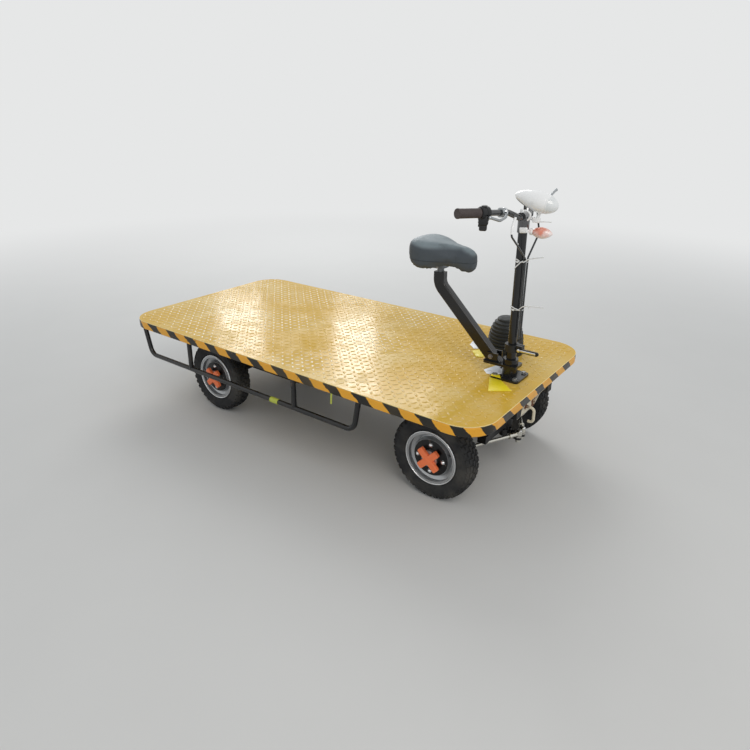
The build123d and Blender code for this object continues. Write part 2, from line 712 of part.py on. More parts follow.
def axle_arms():
    """Four flat arms that hold the axles fore and aft under the rails."""
    rear_start = REAR_AXLE_X + AXLE_TUBE + PIVOT_GAP
    front_start = FRONT_AXLE_X - BEAM_WIDTH / 2 - PIVOT_GAP
    routes = (
        # start, end, height of the middle
        (rear_start, REAR_AXLE_X + ARM_REACH, AXLE_Z),
        (front_start, FRONT_AXLE_X - ARM_REACH, BEAM_Z),
    )
    arms = []
    for side in (-1, 1):
        inner = side * RAIL_Y - HANGER_THICK / 2
        outer = inner + HANGER_THICK
        for start, end, z in routes:
            back, front = sorted((start, end))
            low = z - ARM_DEPTH / 2
            bar = block(back, front, inner, outer, low, low + ARM_DEPTH)
            half = ARM_HANGER / 2
            arms.append(bar + block(end - half, end + half, inner, outer, low, RAIL_LOW))
    return arms


def battery_box():
    """The closed battery box that hangs between the rails."""
    half_width = RAIL_Y - RAIL_WIDTH / 2 - BATTERY_SIDE_GAP
    box = block(
        BATTERY_REAR, BATTERY_REAR + BATTERY_LENGTH, -half_width, half_width,
        RING_LOW - BATTERY_HEIGHT, RING_LOW,
    )
    return fillet(box.edges().filter_by(Axis.Z), BATTERY_CORNER)


# Steering head, seat post and saddle

def steering_head():
    """The fixed bearing tube with its deck flange and the plate under the cross members."""
    head = tube_z(HEAD_RADIUS, HEAD_BOTTOM, HEAD_TOP, COLUMN_X)
    flange = RectangleRounded(HEAD_FLANGE, HEAD_FLANGE, HEAD_FLANGE_CORNER)
    head += place(extrude(flange, amount=PLATE_THICK + HEAD_FLANGE_THICK), COLUMN_X, 0, PLATE_LOW)
    reach = HEAD_CROSS_REACH + CROSS_WIDTH / 2
    half = HEAD_FLANGE / 2
    head += block(
        COLUMN_X - reach, COLUMN_X + reach, -half, half, RING_LOW - HEAD_FLANGE_THICK, RING_LOW
    )
    return head - tube_z(SHAFT_RADIUS + RUNNING_GAP, 0, 2 * HEAD_TOP, COLUMN_X)


def front_crossbar():
    """The bar with the shaft's lower bearing, hung from the rails by two flat hangers."""
    high = CROSSBAR_LOW + CROSSBAR_HEIGHT
    half = CROSSBAR_WIDTH / 2
    bar = block(
        COLUMN_X - half, COLUMN_X + half, -CROSSBAR_HALF, CROSSBAR_HALF, CROSSBAR_LOW, high
    )
    boss = SHAFT_RADIUS + CROSSBAR_BOSS
    bar += tube_z(boss, CROSSBAR_LOW - CROSSBAR_BOSS_EDGE, high + CROSSBAR_BOSS_EDGE, COLUMN_X)
    for side in (-1, 1):
        inner = side * RAIL_Y - HANGER_THICK / 2
        bar += block(
            COLUMN_X - HANGER_WIDTH / 2, COLUMN_X + HANGER_WIDTH / 2,
            inner, inner + HANGER_THICK, CROSSBAR_LOW, RAIL_LOW,
        )
    return bar - tube_z(SHAFT_RADIUS + RUNNING_GAP, 0, RING_LOW, COLUMN_X)


def seat_bracket():
    """The plate clamped on the steering head, with two cheeks round the foot of the seat post."""
    low = POST_FOOT_Z - BRACKET_THICK
    back = POST_FOOT_X - BRACKET_BACK
    front = COLUMN_X + HEAD_RADIUS + BRACKET_FRONT
    half = BRACKET_WIDTH / 2
    bracket = block(back, front, -half, half, low, POST_FOOT_Z)
    bracket = fillet(bracket.edges().filter_by(Axis.Z), BRACKET_CORNER)
    cheek = POST_WIDTH / 2 + SEATED_GAP
    for side in (-1, 1):
        bracket += block(
            back + BRACKET_CORNER, POST_FOOT_X + CHEEK_FRONT,
            side * cheek, side * (cheek + CHEEK_THICK), low, POST_FOOT_Z + CHEEK_HEIGHT,
        )
    return bracket - tube_z(HEAD_RADIUS + SEATED_GAP, 0, 2 * HEAD_TOP, COLUMN_X)


def seat_post():
    """The rectangular post that leans back from the steering head and turns up to the saddle."""
    foot = Vector(POST_FOOT_X, 0, POST_FOOT_Z)
    knee = Vector(SADDLE_X, 0, POST_FOOT_Z + KNEE_RISE + POST_FOOT_DROP)
    start = foot + (foot - knee).normalized() * POST_DEPTH
    path = FilletPolyline(start, knee, (SADDLE_X, 0, POST_TOP), radius=KNEE_BEND)
    section = Plane(origin=path @ 0, x_dir=(0, 1, 0), z_dir=path % 0)
    outline = RectangleRounded(POST_WIDTH, POST_DEPTH, POST_ROUNDING)
    post = sweep(section * outline, path=path)
    floor = block(0, DECK_LENGTH, -POST_WIDTH, POST_WIDTH, 0, POST_FOOT_Z)
    return post - floor


def saddle():
    """The padded saddle as a loft of rounded sections, wide behind and narrow in front."""
    faces = []
    for along, half, low, high, corner in SADDLE_SECTIONS:
        middle = (SADDLE_X + along, 0, SADDLE_BASE + (low + high) / 2)
        plane = Plane(origin=middle, x_dir=(0, 1, 0), z_dir=(1, 0, 0))
        faces.append(plane * RectangleRounded(2 * half, high - low, corner))
    return loft(faces) - saddle_hollow()


def saddle_hollow():
    """The space under the saddle's ceiling, between its skirts."""
    ceiling = SADDLE_BASE + SADDLE_CEILING
    faces = []
    for along, half, _, _, _ in SADDLE_SECTIONS[1:-1]:
        plane = Plane(origin=(SADDLE_X + along, 0, POST_TOP), x_dir=(0, 1, 0), z_dir=(1, 0, 0))
        width = 2 * (half - SADDLE_SKIRT)
        faces.append(plane * RectangleRounded(width, 2 * (ceiling - POST_TOP), SADDLE_HOLLOW_CORNER))
    return loft(faces)


def saddle_clamp():
    """The round pillar, the clamp on its top and the two saddle rails."""
    low = SADDLE_BASE - SADDLE_CLAMP_DROP
    half_x, half_y = SADDLE_CLAMP_HALF
    rail_z = SADDLE_BASE - SADDLE_RAIL_DROP
    back = SADDLE_X - SADDLE_RAIL_LENGTH / 2
    front = SADDLE_X + SADDLE_RAIL_LENGTH / 2
    clamp = tube_z(PILLAR_RADIUS, POST_TOP, low + SADDLE_CLAMP_HEIGHT, SADDLE_X)
    clamp += block(
        SADDLE_X - half_x, SADDLE_X + half_x, -half_y, half_y, low, low + SADDLE_CLAMP_HEIGHT
    )
    for side in (-1, 1):
        y = side * SADDLE_RAIL_Y
        clamp += rod_between((back, y, rail_z), (front, y, rail_z), SADDLE_RAIL_RADIUS)
        for end in (back, front):
            clamp += tube_z(SADDLE_RAIL_RADIUS, rail_z, rail_z + SADDLE_RAIL_RISE, end, y)
    return clamp - place(saddle(), z=-SEATED_GAP)


def ribbed_box():
    """The black ribbed housing that stands on a cross member, through the deck plate."""
    pitch = (HOUSING_HEIGHT - HOUSING_FOOT) / (HOUSING_RIBS + 1 / 4)
    points = [(0, 0), (HOUSING_RADIUS, 0)]
    z = HOUSING_FOOT
    for _ in range(HOUSING_RIBS):
        swell = HOUSING_RADIUS * (1 - (z / HOUSING_HEIGHT) ** 3) ** 0.5
        groove = swell - HOUSING_RIB_DEPTH
        points += [(swell, z), (swell, z + pitch / 2), (groove, z + pitch * 3 / 4)]
        z += pitch
    points += [(0, z)]
    return place(turned_upright(points), HOUSING_X, HOUSING_Y, PLATE_LOW)


def tow_bracket():
    """The plate hung under the front edge, with its top flange, gussets and the tow hook."""
    low = RING_LOW - TOW_DROP
    flange_low = RING_LOW - TOW_THICK
    bracket = block(TOW_X - TOW_THICK, TOW_X, -TOW_HALF, TOW_HALF, low, RING_LOW)
    bracket += block(TOW_X, TOW_X + TOW_FLANGE, -TOW_HALF, TOW_HALF, flange_low, RING_LOW)
    for side in (-1, 1):
        outer = side * TOW_HALF
        gusset = Polyline(
            (TOW_X, outer, flange_low), (TOW_X + TOW_GUSSET, outer, flange_low),
            (TOW_X, outer, low), close=True,
        )
        bracket += extrude(make_face(gusset), amount=side * TOW_THICK, dir=(0, -1, 0))
    top = RING_LOW - HOOK_TOP
    tip = top - HOOK_DEPTH
    path = FilletPolyline(
        (TOW_X - TOW_THICK / 2, 0, top), (TOW_X + HOOK_REACH, 0, top),
        (TOW_X + HOOK_REACH, 0, tip), (TOW_X + HOOK_REACH - HOOK_TIP, 0, tip),
        radius=HOOK_BEND,
    )
    return bracket + swept(path, Circle(HOOK_RADIUS))


# Steering column and handlebar

def steering_shaft():
    """The turning shaft in the head, with the drop arm and its two eyes at its foot."""
    shaft = tube_z(SHAFT_RADIUS, AXLE_Z - SHAFT_FOOT_DROP, SHAFT_TOP, COLUMN_X)
    boss = SHAFT_RADIUS + DROP_ARM_BOSS
    shaft += tube_z(boss, ARM_LOW, ARM_TOP + DROP_ARM_BOSS_RISE, COLUMN_X)
    shaft += steering_arm(COLUMN_X, 0, -1) + steering_arm(COLUMN_X, 0, 1)
    shaft -= eye_hole(COLUMN_X, 0, -1) + eye_hole(COLUMN_X, 0, 1)
    shaft += tube_z(HEAD_RADIUS, HEAD_TOP + PIVOT_GAP, HEAD_TOP + BEARING_COLLAR, COLUMN_X)
    socket = COLUMN_TUBE + SOCKET_GAP
    return shaft - tube_z(socket, SHAFT_TOP - COLUMN_SOCKET, 2 * SHAFT_TOP, COLUMN_X)


def column_clamp():
    """The split collar round the top of the shaft, with its bolt and quick-release lever."""
    high = CLAMP_Z + CLAMP_HEIGHT
    inside = COLUMN_X + COLUMN_TUBE
    ear = COLUMN_X + CLAMP_RADIUS + CLAMP_EAR
    clamp = tube_z(CLAMP_RADIUS, CLAMP_Z, high, COLUMN_X)
    clamp += block(inside, ear, -CLAMP_EAR_HALF, CLAMP_EAR_HALF, CLAMP_Z, high)
    clamp -= tube_z(SHAFT_RADIUS + SOCKET_GAP, 0, SHAFT_TOP, COLUMN_X)
    clamp -= tube_z(COLUMN_TUBE + SOCKET_GAP, 0, 2 * high, COLUMN_X)
    clamp -= block(COLUMN_X, 2 * ear, -CLAMP_SLOT_HALF, CLAMP_SLOT_HALF, 0, 2 * high)
    middle = (CLAMP_Z + high) / 2
    pivot = ear - CLAMP_EAR / 2
    ends = ((pivot, -CLAMP_BOLT_HALF, middle), (pivot, CLAMP_BOLT_HALF, middle))
    clamp += rod_between(*ends, CLAMP_BOLT_RADIUS)
    lever = Pos(LEVER_LENGTH / 2, 0) * SlotCenterToCenter(LEVER_LENGTH, LEVER_WIDTH)
    beside = Pos(pivot, -CLAMP_EAR_HALF, middle) * Rot(90, 0, 0)
    return clamp + beside * extrude(lever, amount=LEVER_THICK)


def upper_column():
    return tube_z(COLUMN_TUBE, SHAFT_TOP - COLUMN_SOCKET, COLUMN_TOP, COLUMN_X)


def bar_points(side):
    """The handlebar's route on one side, from its middle out to its end."""
    return [
        (COLUMN_X, 0, BAR_MID_Z),
        (COLUMN_X, side * BAR_STRAIGHT, BAR_MID_Z),
        (COLUMN_X - BAR_KNEE_BACK, side * BAR_KNEE, BAR_END_Z - BAR_SLOPE),
        (COLUMN_X - BAR_SWEEP, side * BAR_HALF, BAR_END_Z),
    ]


def handlebar():
    """The bent bar and the stem that clamps it on the column."""
    left = bar_points(1)
    right = bar_points(-1)
    path = FilletPolyline(*(right[:0:-1] + left[1:]), radius=BAR_BEND)
    half_x, half_y = STEM_NECK_HALF
    clamp_ends = ((COLUMN_X, -STEM_CLAMP_HALF, BAR_MID_Z), (COLUMN_X, STEM_CLAMP_HALF, BAR_MID_Z))
    stem = tube_z(STEM_RADIUS, COLUMN_TOP - STEM_GRIP, COLUMN_TOP + STEM_CAP, COLUMN_X)
    stem += rod_between(*clamp_ends, BAR_RADIUS + STEM_CLAMP_WALL)
    stem += block(COLUMN_X - half_x, COLUMN_X + half_x, -half_y, half_y, COLUMN_TOP, BAR_MID_Z)
    stem -= tube_z(COLUMN_TUBE + SOCKET_GAP, 0, COLUMN_TOP, COLUMN_X)
    return stem + swept(path, Circle(BAR_RADIUS))


def along_bar(side, back):
    """A point on the straight outer stretch of the bar, and its outward direction."""
    knee = Vector(*bar_points(side)[2])
    tip = Vector(*bar_points(side)[3])
    out = (tip - knee).normalized()
    return tip - out * back, out


def bar_sleeve(side, outer_back, length, radius):
    """A round sleeve round the bar, whose outer end lies that far back from the bar's tip."""
    outer, out = along_bar(side, outer_back)
    plane = Plane(origin=outer - out * length, z_dir=out)
    return extrude(plane * Circle(radius), amount=length)


def bar_space(side):
    """The room that the straight stretch of the bar takes up in what sits on it."""
    tip, out = along_bar(side, -SEATED_GAP)
    plane = Plane(origin=tip, z_dir=out * -1)
    run = PERCH_BACK + PERCH_LENGTH + 2 * SEATED_GAP
    return extrude(plane * Circle(BAR_RADIUS + SEATED_GAP), amount=run)


def grips():
    pieces = []
    for side in (-1, 1):
        pieces.append(bar_sleeve(side, -GRIP_END, GRIP_LENGTH, GRIP_RADIUS) - bar_space(side))
    return pieces


def switch_housings():
    """The throttle and switch blocks beside the grips, each with its short foot below."""
    width, over, below = SWITCH_BODY
    foot_length, foot_width, drop = SWITCH_FOOT
    pieces = []
    for side in (-1, 1):
        sleeve = bar_sleeve(side, GRIP_LENGTH - SWITCH_LAP, SWITCH_LENGTH, SWITCH_RADIUS)
        middle, out = along_bar(side, GRIP_LENGTH - SWITCH_LAP + SWITCH_LENGTH / 2)
        upright = Plane(origin=middle, x_dir=out, z_dir=(0, 0, 1))
        body = upright * Pos(0, 0, (over - below) / 2) * Box(SWITCH_LENGTH, width, over + below)
        foot = upright * Pos(0, 0, -drop / 2) * Box(foot_length, foot_width, drop)
        pieces.append(sleeve + body + foot - bar_space(side))
    return pieces


def brake_levers():
    """The lever perches beside the bar's knees and their curved plated levers."""
    pieces = []
    for side, route in ((-1, BRAKE_LEVER_RIGHT), (1, BRAKE_LEVER_LEFT)):
        perch = bar_sleeve(side, PERCH_BACK, PERCH_LENGTH, PERCH_RADIUS)
        root, out = along_bar(side, PERCH_BACK + PERCH_LENGTH / 2)
        up = Vector(0, 0, 1)
        forward = up.cross(out).normalized() * -side
        points = []
        for ahead, along, rise in route:
            points.append(root + forward * ahead + out * along + up * rise)
        path = FilletPolyline(*[tuple(point) for point in points], radius=BRAKE_LEVER_BEND)
        lever = swept(path, Circle(BRAKE_LEVER_RADIUS))
        ball = place(Sphere(BRAKE_LEVER_BALL), *tuple(points[-1]))
        pieces.append(perch + lever + ball - bar_space(side))
    return pieces


def lamp_outline():
    """Points along the lamp shell from its rear tip to its front, with the radius at each."""
    points = []
    for step in range(LAMP_STEPS + 1):
        along = LAMP_LENGTH * (1 - cos(pi * step / LAMP_STEPS)) / 2
        if along < LAMP_WIDEST:
            share = (1 - along / LAMP_WIDEST) ** LAMP_TAIL_POWER
        else:
            share = ((along - LAMP_WIDEST) / (LAMP_LENGTH - LAMP_WIDEST)) ** LAMP_NOSE_POWER
        points.append((along, LAMP_RADIUS * (1 - share) ** 0.5))
    return points


def headlamp():
    """The egg-shaped lamp shell, nose down, on its stalk ahead of the bar."""
    tilted = Pos(COLUMN_X + LAMP_BACK, 0, BAR_MID_Z + LAMP_RISE) * Rot(0, LAMP_TILT, 0)
    shell = tilted * revolve(make_face(Polyline(*lamp_outline(), close=True)), axis=Axis.X)
    reach, drop = LAMP_ARM_END
    corner = (COLUMN_X + reach, 0, BAR_MID_Z - drop)
    top_reach, rise = LAMP_STALK_TOP
    top = (COLUMN_X + top_reach, 0, BAR_MID_Z + rise)
    arm = rod_between((COLUMN_X, 0, BAR_MID_Z), corner, LAMP_ARM_RADIUS)
    stalk = place(Box(*LAMP_BLOCK), *corner) + rod_between(corner, top, LAMP_ARM_RADIUS)
    half = 2 * STEM_CLAMP_HALF
    clamp_ends = ((COLUMN_X, -half, BAR_MID_Z), (COLUMN_X, half, BAR_MID_Z))
    clamp = rod_between(*clamp_ends, BAR_RADIUS + STEM_CLAMP_WALL + SEATED_GAP)
    return shell + arm + stalk - clamp


def turn_lamp():
    """The amber lamp on its short arm in front of the column."""
    start = (COLUMN_X + STEM_RADIUS + SEATED_GAP, AMBER_Y, AMBER_Z)
    root = (COLUMN_X + AMBER_BACK + AMBER_ARM_RADIUS, AMBER_Y, AMBER_Z)
    middle = (AMBER_AHEAD + AMBER_BACK) / 2
    profile = [
        Line((AMBER_BACK, 0), (AMBER_AHEAD, 0)),
        ThreePointArc((AMBER_AHEAD, 0), (middle, AMBER_RADIUS), (AMBER_BACK, 0)),
    ]
    lens = place(revolve(make_face(profile), axis=Axis.X), COLUMN_X, AMBER_Y, AMBER_Z)
    return lens + rod_between(start, root, AMBER_ARM_RADIUS)


def control_cables():
    """The two cables from the levers to the front of the column and down it."""
    face = COLUMN_X + STEM_RADIUS + CABLE_RADIUS + PIVOT_GAP
    sides = ((-1, CABLE_LEAD_RIGHT, CABLE_ROUTE_RIGHT), (1, CABLE_LEAD_LEFT, CABLE_ROUTE_LEFT))
    pieces = []
    for side, lead, route in sides:
        perch_end, out = along_bar(side, PERCH_BACK + PERCH_LENGTH)
        start = perch_end - out * SEATED_GAP + Vector(CABLE_START, 0, 0)
        inward, ahead, down = lead
        points = [tuple(start), tuple(start - out * inward + Vector(ahead, 0, -down))]
        for reach, across, below in route:
            points.append((face + reach, side * across, BAR_MID_Z - below))
        pieces.append(swept(FilletPolyline(*points, radius=CABLE_BEND), Circle(CABLE_RADIUS)))
    return pieces


def build():
    save("deck_plate", deck_plate())
    save("deck_frame", deck_ring())
    save("cross_members", cross_members())
    save("chassis_rails", chassis_rails())
    save("side_guard_right", side_guard(-1))
    save("side_guard_left", side_guard(1))
    save("front_axle", front_axle())
    save("rear_axle", rear_axle())
    save("drive_motor", drive_motor())
    save("front_springs", springs(FRONT_AXLE_X, FRONT_SPRING_Y, FRONT_SEAT_TOP))
    save("rear_springs", springs(REAR_AXLE_X, REAR_SPRING_Y, REAR_SEAT_TOP))
    save("axle_arms", axle_arms())
    save("battery_box", battery_box())
    save("steering_head", steering_head())
    save("front_crossbar", front_crossbar())
    save("seat_bracket", seat_bracket())
    save("seat_post", seat_post())
    save("saddle_clamp", saddle_clamp())
    save("saddle", saddle())
    save("ribbed_box", ribbed_box())
    save("tow_bracket", tow_bracket())
    save("steering_shaft", steering_shaft())
    save("column_clamp", column_clamp())
    save("upper_column", upper_column())
    save("handlebar", handlebar())
    save("grips", grips())
    save("switch_housings", switch_housings())
    save("brake_levers", brake_levers())
    save("headlamp", headlamp())
    save("turn_lamp", turn_lamp())
    save("control_cables", control_cables())
    for side, hand in ((-1, "right"), (1, "left")):
        save(f"knuckle_{hand}", knuckle(side))
        save(f"tie_rod_{hand}", tie_rod(side))
        for x, end in ((FRONT_AXLE_X, "front"), (REAR_AXLE_X, "rear")):
            save(f"tyre_{end}_{hand}", at_wheel(tyre(), x, side))
            save(f"rim_{end}_{hand}", at_wheel(rim(), x, side))
            save(f"hub_cross_{end}_{hand}", [at_wheel(piece, x, side) for piece in hub_cross()])


build()
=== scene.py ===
"""Looks of the electric platform cart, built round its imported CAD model.

Sizes in the classes are in millimetres, in the CAD model's frame: +X forward, +Y to the
rider's left, +Z up, origin on the floor under the middle of the deck.
"""

import logging
import math
from dataclasses import dataclass
from enum import Enum
from functools import cached_property, partial, reduce
from typing import Iterable, Optional, Sequence, Union

import bmesh
import bpy
from bmesh.types import BMEdge, BMesh, BMVert
from mathutils import Matrix, Vector


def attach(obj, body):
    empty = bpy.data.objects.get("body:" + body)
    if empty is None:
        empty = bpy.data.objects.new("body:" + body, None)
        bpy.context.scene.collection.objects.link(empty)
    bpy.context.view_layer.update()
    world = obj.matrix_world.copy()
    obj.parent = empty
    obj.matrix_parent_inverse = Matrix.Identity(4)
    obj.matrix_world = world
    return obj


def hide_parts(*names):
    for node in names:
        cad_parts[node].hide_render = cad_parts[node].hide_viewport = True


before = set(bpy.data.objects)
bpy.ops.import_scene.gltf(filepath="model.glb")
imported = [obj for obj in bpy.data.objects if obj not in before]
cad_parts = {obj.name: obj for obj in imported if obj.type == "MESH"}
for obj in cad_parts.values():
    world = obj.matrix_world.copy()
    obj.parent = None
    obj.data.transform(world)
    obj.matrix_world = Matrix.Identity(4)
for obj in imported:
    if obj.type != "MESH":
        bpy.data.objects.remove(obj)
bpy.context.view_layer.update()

MM = 0.001
FULL_TURN = 2 * math.pi
SIDES = ((-1, "right"), (1, "left"))

Colour = tuple[float, float, float, float]
Socket = bpy.types.NodeSocket
Triple = tuple[float, float, float]
Value = Union[float, Colour, Triple, Socket]
Point = Sequence[float]
Route = tuple[Point, ...]

log = logging.getLogger("cart")


class Body(str, Enum):
    """The bodies that most pieces ride on; wheels and tie rods name their own."""

    CHASSIS = "chassis"
    STEERING = "steering"


class Spread(str, Enum):
    """How the middle of a noise pattern is widened into a mask."""

    SOFT = "SMOOTHSTEP"
    EVEN = "LINEAR"


def ink(code: str, level: float = 1.0) -> Colour:
    """Turns a colour as seen on screen into the renderer's linear colour.

    Args:
        code: The colour as a hash sign and six hexadecimal digits.
        level: A factor on its brightness.

    Returns:
        Red, green, blue and alpha.
    """
    seen = [int(code[i:i + 2], 16) / 255 for i in (1, 3, 5)]
    linear = [c / 12.92 if c <= 0.04045 else ((c + 0.055) / 1.055) ** 2.4 for c in seen]
    return (linear[0] * level, linear[1] * level, linear[2] * level, 1.0)


def at(x: float, y: float, z: float) -> Matrix:
    """Returns the move to a place."""
    return Matrix.Translation((x, y, z))


def facing(place: Point, direction: Point) -> Matrix:
    """Returns the move that sets a shape at a place, its own Z axis along a direction."""
    return at(*place) @ Vector(direction).to_track_quat("Z", "Y").to_matrix().to_4x4()


def turn(degrees: float, axis: str) -> Matrix:
    """Returns a turn about one axis through the origin."""
    return Matrix.Rotation(math.radians(degrees), 4, axis)


# Materials


class Nodes:
    """A node tree, with short calls for making and linking its nodes."""

    def __init__(self, tree: bpy.types.NodeTree) -> None:
        """Takes over a tree's nodes and links."""
        self.nodes, self.links = tree.nodes, tree.links

    def feed(self, node: bpy.types.Node, socket: Union[int, str], value: Value) -> None:
        """Sets a node's input to a plain value, or links an output to it.

        Args:
            node: The node.
            socket: The input's name or number.
            value: A number, a colour, a vector or an output.
        """
        if isinstance(value, bpy.types.NodeSocket):
            self.links.new(value, node.inputs[socket])
        else:
            node.inputs[socket].default_value = value

    def node(self, kind: str, inputs: dict[Union[int, str], Value], output: Union[int, str] = 0,
             **settings: str) -> Socket:
        """Makes a node.

        Args:
            kind: Its type, less the words that all types start with.
            inputs: The values of its inputs, by name or number.
            output: The output that is wanted, by name or number.
            settings: The node's own settings.

        Returns:
            The output.
        """
        node = self.nodes.new(f"ShaderNode{kind}")
        for name, setting in settings.items():
            setattr(node, name, setting)
        for socket, value in inputs.items():
            self.feed(node, socket, value)
        return node.outputs[output]

    def calc(self, operation: str, first: Value, second: Value = 0.0) -> Socket:
        """Returns the result of one Math node."""
        return self.node("Math", {0: first, 1: second}, operation=operation)

    def add(self, first: Value, *others: Value) -> Value:
        """Returns the sum of some numbers."""
        return reduce(partial(self.calc, "ADD"), others, first)

    def seen(self) -> Socket:
        """Tells the camera's rays apart, mirrored ones and ones through glass too.

        Returns:
            One for such a ray, or zero.
        """
        rays = self.nodes.new("ShaderNodeLightPath").outputs
        mirrored = self.calc("MAXIMUM", rays["Is Glossy Ray"], rays["Is Transmission Ray"])
        return self.calc("MAXIMUM", rays["Is Camera Ray"], mirrored)


class Shader(Nodes):
    """A material's node tree, with short calls for the patterns that the finishes share."""

    def __init__(self, name: str) -> None:
        """Starts a material with one Principled shader.

        Args:
            name: The material's name.
        """
        self.material = bpy.data.materials.new(name)
        self.material.use_nodes = True
        super().__init__(self.material.node_tree)
        self.surface = self.nodes["Principled BSDF"]
        self.place = self.node("TexCoord", {}, "Object")

    def wear(self, **inputs: Value) -> None:
        """Sets the Principled shader's inputs, named with underscores for spaces."""
        for name, value in inputs.items():
            self.feed(self.surface, name.replace("_", " "), value)

    def moved(self, scale: Point, degrees: float = 0.0) -> Socket:
        """Returns the object coordinates turned about Z and scaled."""
        tilt = (0.0, 0.0, math.radians(degrees))
        return self.node("Mapping", {"Vector": self.place, "Rotation": tilt, "Scale": tuple(scale)})

    def cloud(self, scale: float, detail: float = 4.0, place: Optional[Socket] = None) -> Socket:
        """Returns noise near one half, by its features per metre, octaves and coordinates."""
        return self.node("TexNoise", {"Vector": place or self.place, "Scale": scale, "Detail": detail})

    def cells(self, scale: float) -> Socket:
        """Returns the distance to the nearest point of a pattern of so many cells per metre."""
        return self.node("TexVoronoi", {"Vector": self.place, "Scale": scale}, "Distance")

    def between(self, value: Value, low: float, high: float, top: float = 1.0,
                spread: Spread = Spread.SOFT) -> Socket:
        """Returns a mask that rises from zero to its top as a value goes from low to high."""
        span = {"Value": value, "From Min": low, "From Max": high, "To Max": top}
        return self.node("MapRange", span, interpolation_type=spread.value)

    def spots(self, scale: float, detail: float, low: float, high: float, top: float = 1.0) -> Socket:
        """Returns a mask of spots, cut out of noise between two levels."""
        return self.between(self.cloud(scale, detail), low, high, top)

    def mix(self, mask: Value, under: Value, over: Value) -> Socket:
        """Returns one colour laid over another by a mask."""
        return self.node("Mix", {0: mask, 6: under, 7: over}, 2, data_type="RGBA")

    def blend(self, mask: Value, under: Value, over: Value) -> Socket:
        """Returns one number blended into another by a mask."""
        return self.node("Mix", {0: mask, 2: under, 3: over})

    def parts(self) -> tuple[Socket, ...]:
        """Returns the object coordinates as three numbers."""
        return tuple(self.node("SeparateXYZ", {0: self.place}).node.outputs)

    def relief(self, height: Value, depth: float, strength: float = 1.0,
               under: Optional[Socket] = None) -> Socket:
        """Returns the normal of a bump, by its full height in metres and the bump it lies on."""
        below = {} if under is None else {"Normal": under}
        return self.node("Bump", {"Height": height, "Distance": depth, "Strength": strength} | below)


@dataclass(frozen=True)
class Finish:
    """A finish, whose material is made at its first use and then shared."""

    name: str
    colour: str

    @cached_property
    def shader(self) -> Shader:
        """The node tree of the finish's own material."""
        return Shader(self.name)

    @cached_property
    def material(self) -> bpy.types.Material:
        """The finish's material."""
        self.draw()
        return self.shader.material

    def draw(self) -> None:
        """Sets up the shader."""
        raise NotImplementedError

    def toned(self, scale: float, dark: float, light: float, detail: float = 4.0) -> Socket:
        """Returns the finish's colour in patches between a darker and a lighter tone."""
        noise = self.shader.cloud(scale, detail)
        return self.shader.mix(noise, ink(self.colour, dark), ink(self.colour, light))

    def on(self, *nodes: str) -> None:
        """Puts the finish on CAD nodes.

        Args:
            nodes: The nodes' names.
        """
        for node in nodes:
            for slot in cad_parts[node].material_slots:
                slot.material = self.material
            log.info("CAD node %s: %s", node, self.name)


@dataclass(frozen=True)
class PaintedSteel(Finish):
    """Sprayed steel with dust in patches, chips down to the metal and a faint orange peel."""

    dust: str = "#8A8378"
    bare: str = "#5B4A3D"
    roughness: float = 0.34
    dustiness: float = 0.30
    chip_level: float = 0.70
    coat: float = 0.25
    specular: float = 0.5

    def ground(self) -> Socket:
        """Returns the colour of the paint, in patches a little lighter and darker."""
        return self.toned(7.0, 0.82, 1.16)

    def draw(self) -> None:
        """Sets up the shader."""
        shader = self.shader
        grime = shader.spots(4.5, 8.0, 0.46, 0.74, self.dustiness)
        chips = shader.spots(55.0, 10.0, self.chip_level, self.chip_level + 0.015)
        dusty = shader.mix(grime, self.ground(), ink(self.dust))
        rough = shader.add(shader.spots(18.0, 6.0, 0.3, 0.7, 0.16), self.roughness - 0.06, grime)
        peel = shader.relief(shader.cloud(420.0, 2.0), 0.0004, 0.10)
        pits = shader.relief(shader.calc("SUBTRACT", 1.0, chips), 0.0003, 0.5, peel)
        shader.wear(Base_Color=shader.mix(chips, dusty, ink(self.bare)), Roughness=rough, Normal=pits,
                    Coat_Weight=self.coat, Coat_Roughness=0.10, Specular_IOR_Level=self.specular)


@dataclass(frozen=True)
class DeckPaint(PaintedSteel):
    """The deck's glossy paint, paler and scuffed where loads slide over it."""

    worn: str = "#E2C678"
    # pale crown colour: worn paint and a painted highlight of the lentils' glints
    crown_glint_and_wear: str = "#FBF3DA"
    plate_top: float = 0.422
    # span along X over which the crowns' painted highlight and wear fade out towards the front
    front_fade: tuple[float, float] = (0.10, 0.50)

    def ground(self) -> Socket:
        """Lays pale worn fields and long scuffs over the paint, and paints the lentils' crowns paler, partly
        as wear and partly as a painted highlight of their glints, fading towards the front.

        Returns:
            The colour.
        """
        shader = self.shader
        fields = shader.spots(2.2, 5.0, 0.42, 0.72, 0.55)
        scuffs = shader.between(shader.cloud(9.0, 9.0, shader.moved((1, 9, 1), 7)), 0.60, 0.72, 0.35)
        scuffed = shader.mix(scuffs, ink(self.colour), ink(self.worn))
        painted = shader.mix(fields, scuffed, ink(self.worn, 0.92))
        along, _, level = shader.parts()
        height = shader.calc("SUBTRACT", level, self.plate_top)
        front_fade = shader.calc("SUBTRACT", 1.0, shader.between(along, *self.front_fade, 0.75))
        glint_and_wear_patches = shader.calc("MULTIPLY", front_fade, shader.spots(3.0, 5.0, 0.36, 0.60, 0.80))
        # lentil crowns painted paler: partly wear, partly a painted highlight
        worn_and_lit = shader.calc("MULTIPLY", shader.between(height, 0.0004, 0.0015), glint_and_wear_patches)
        return shader.mix(worn_and_lit, painted, ink(self.crown_glint_and_wear))


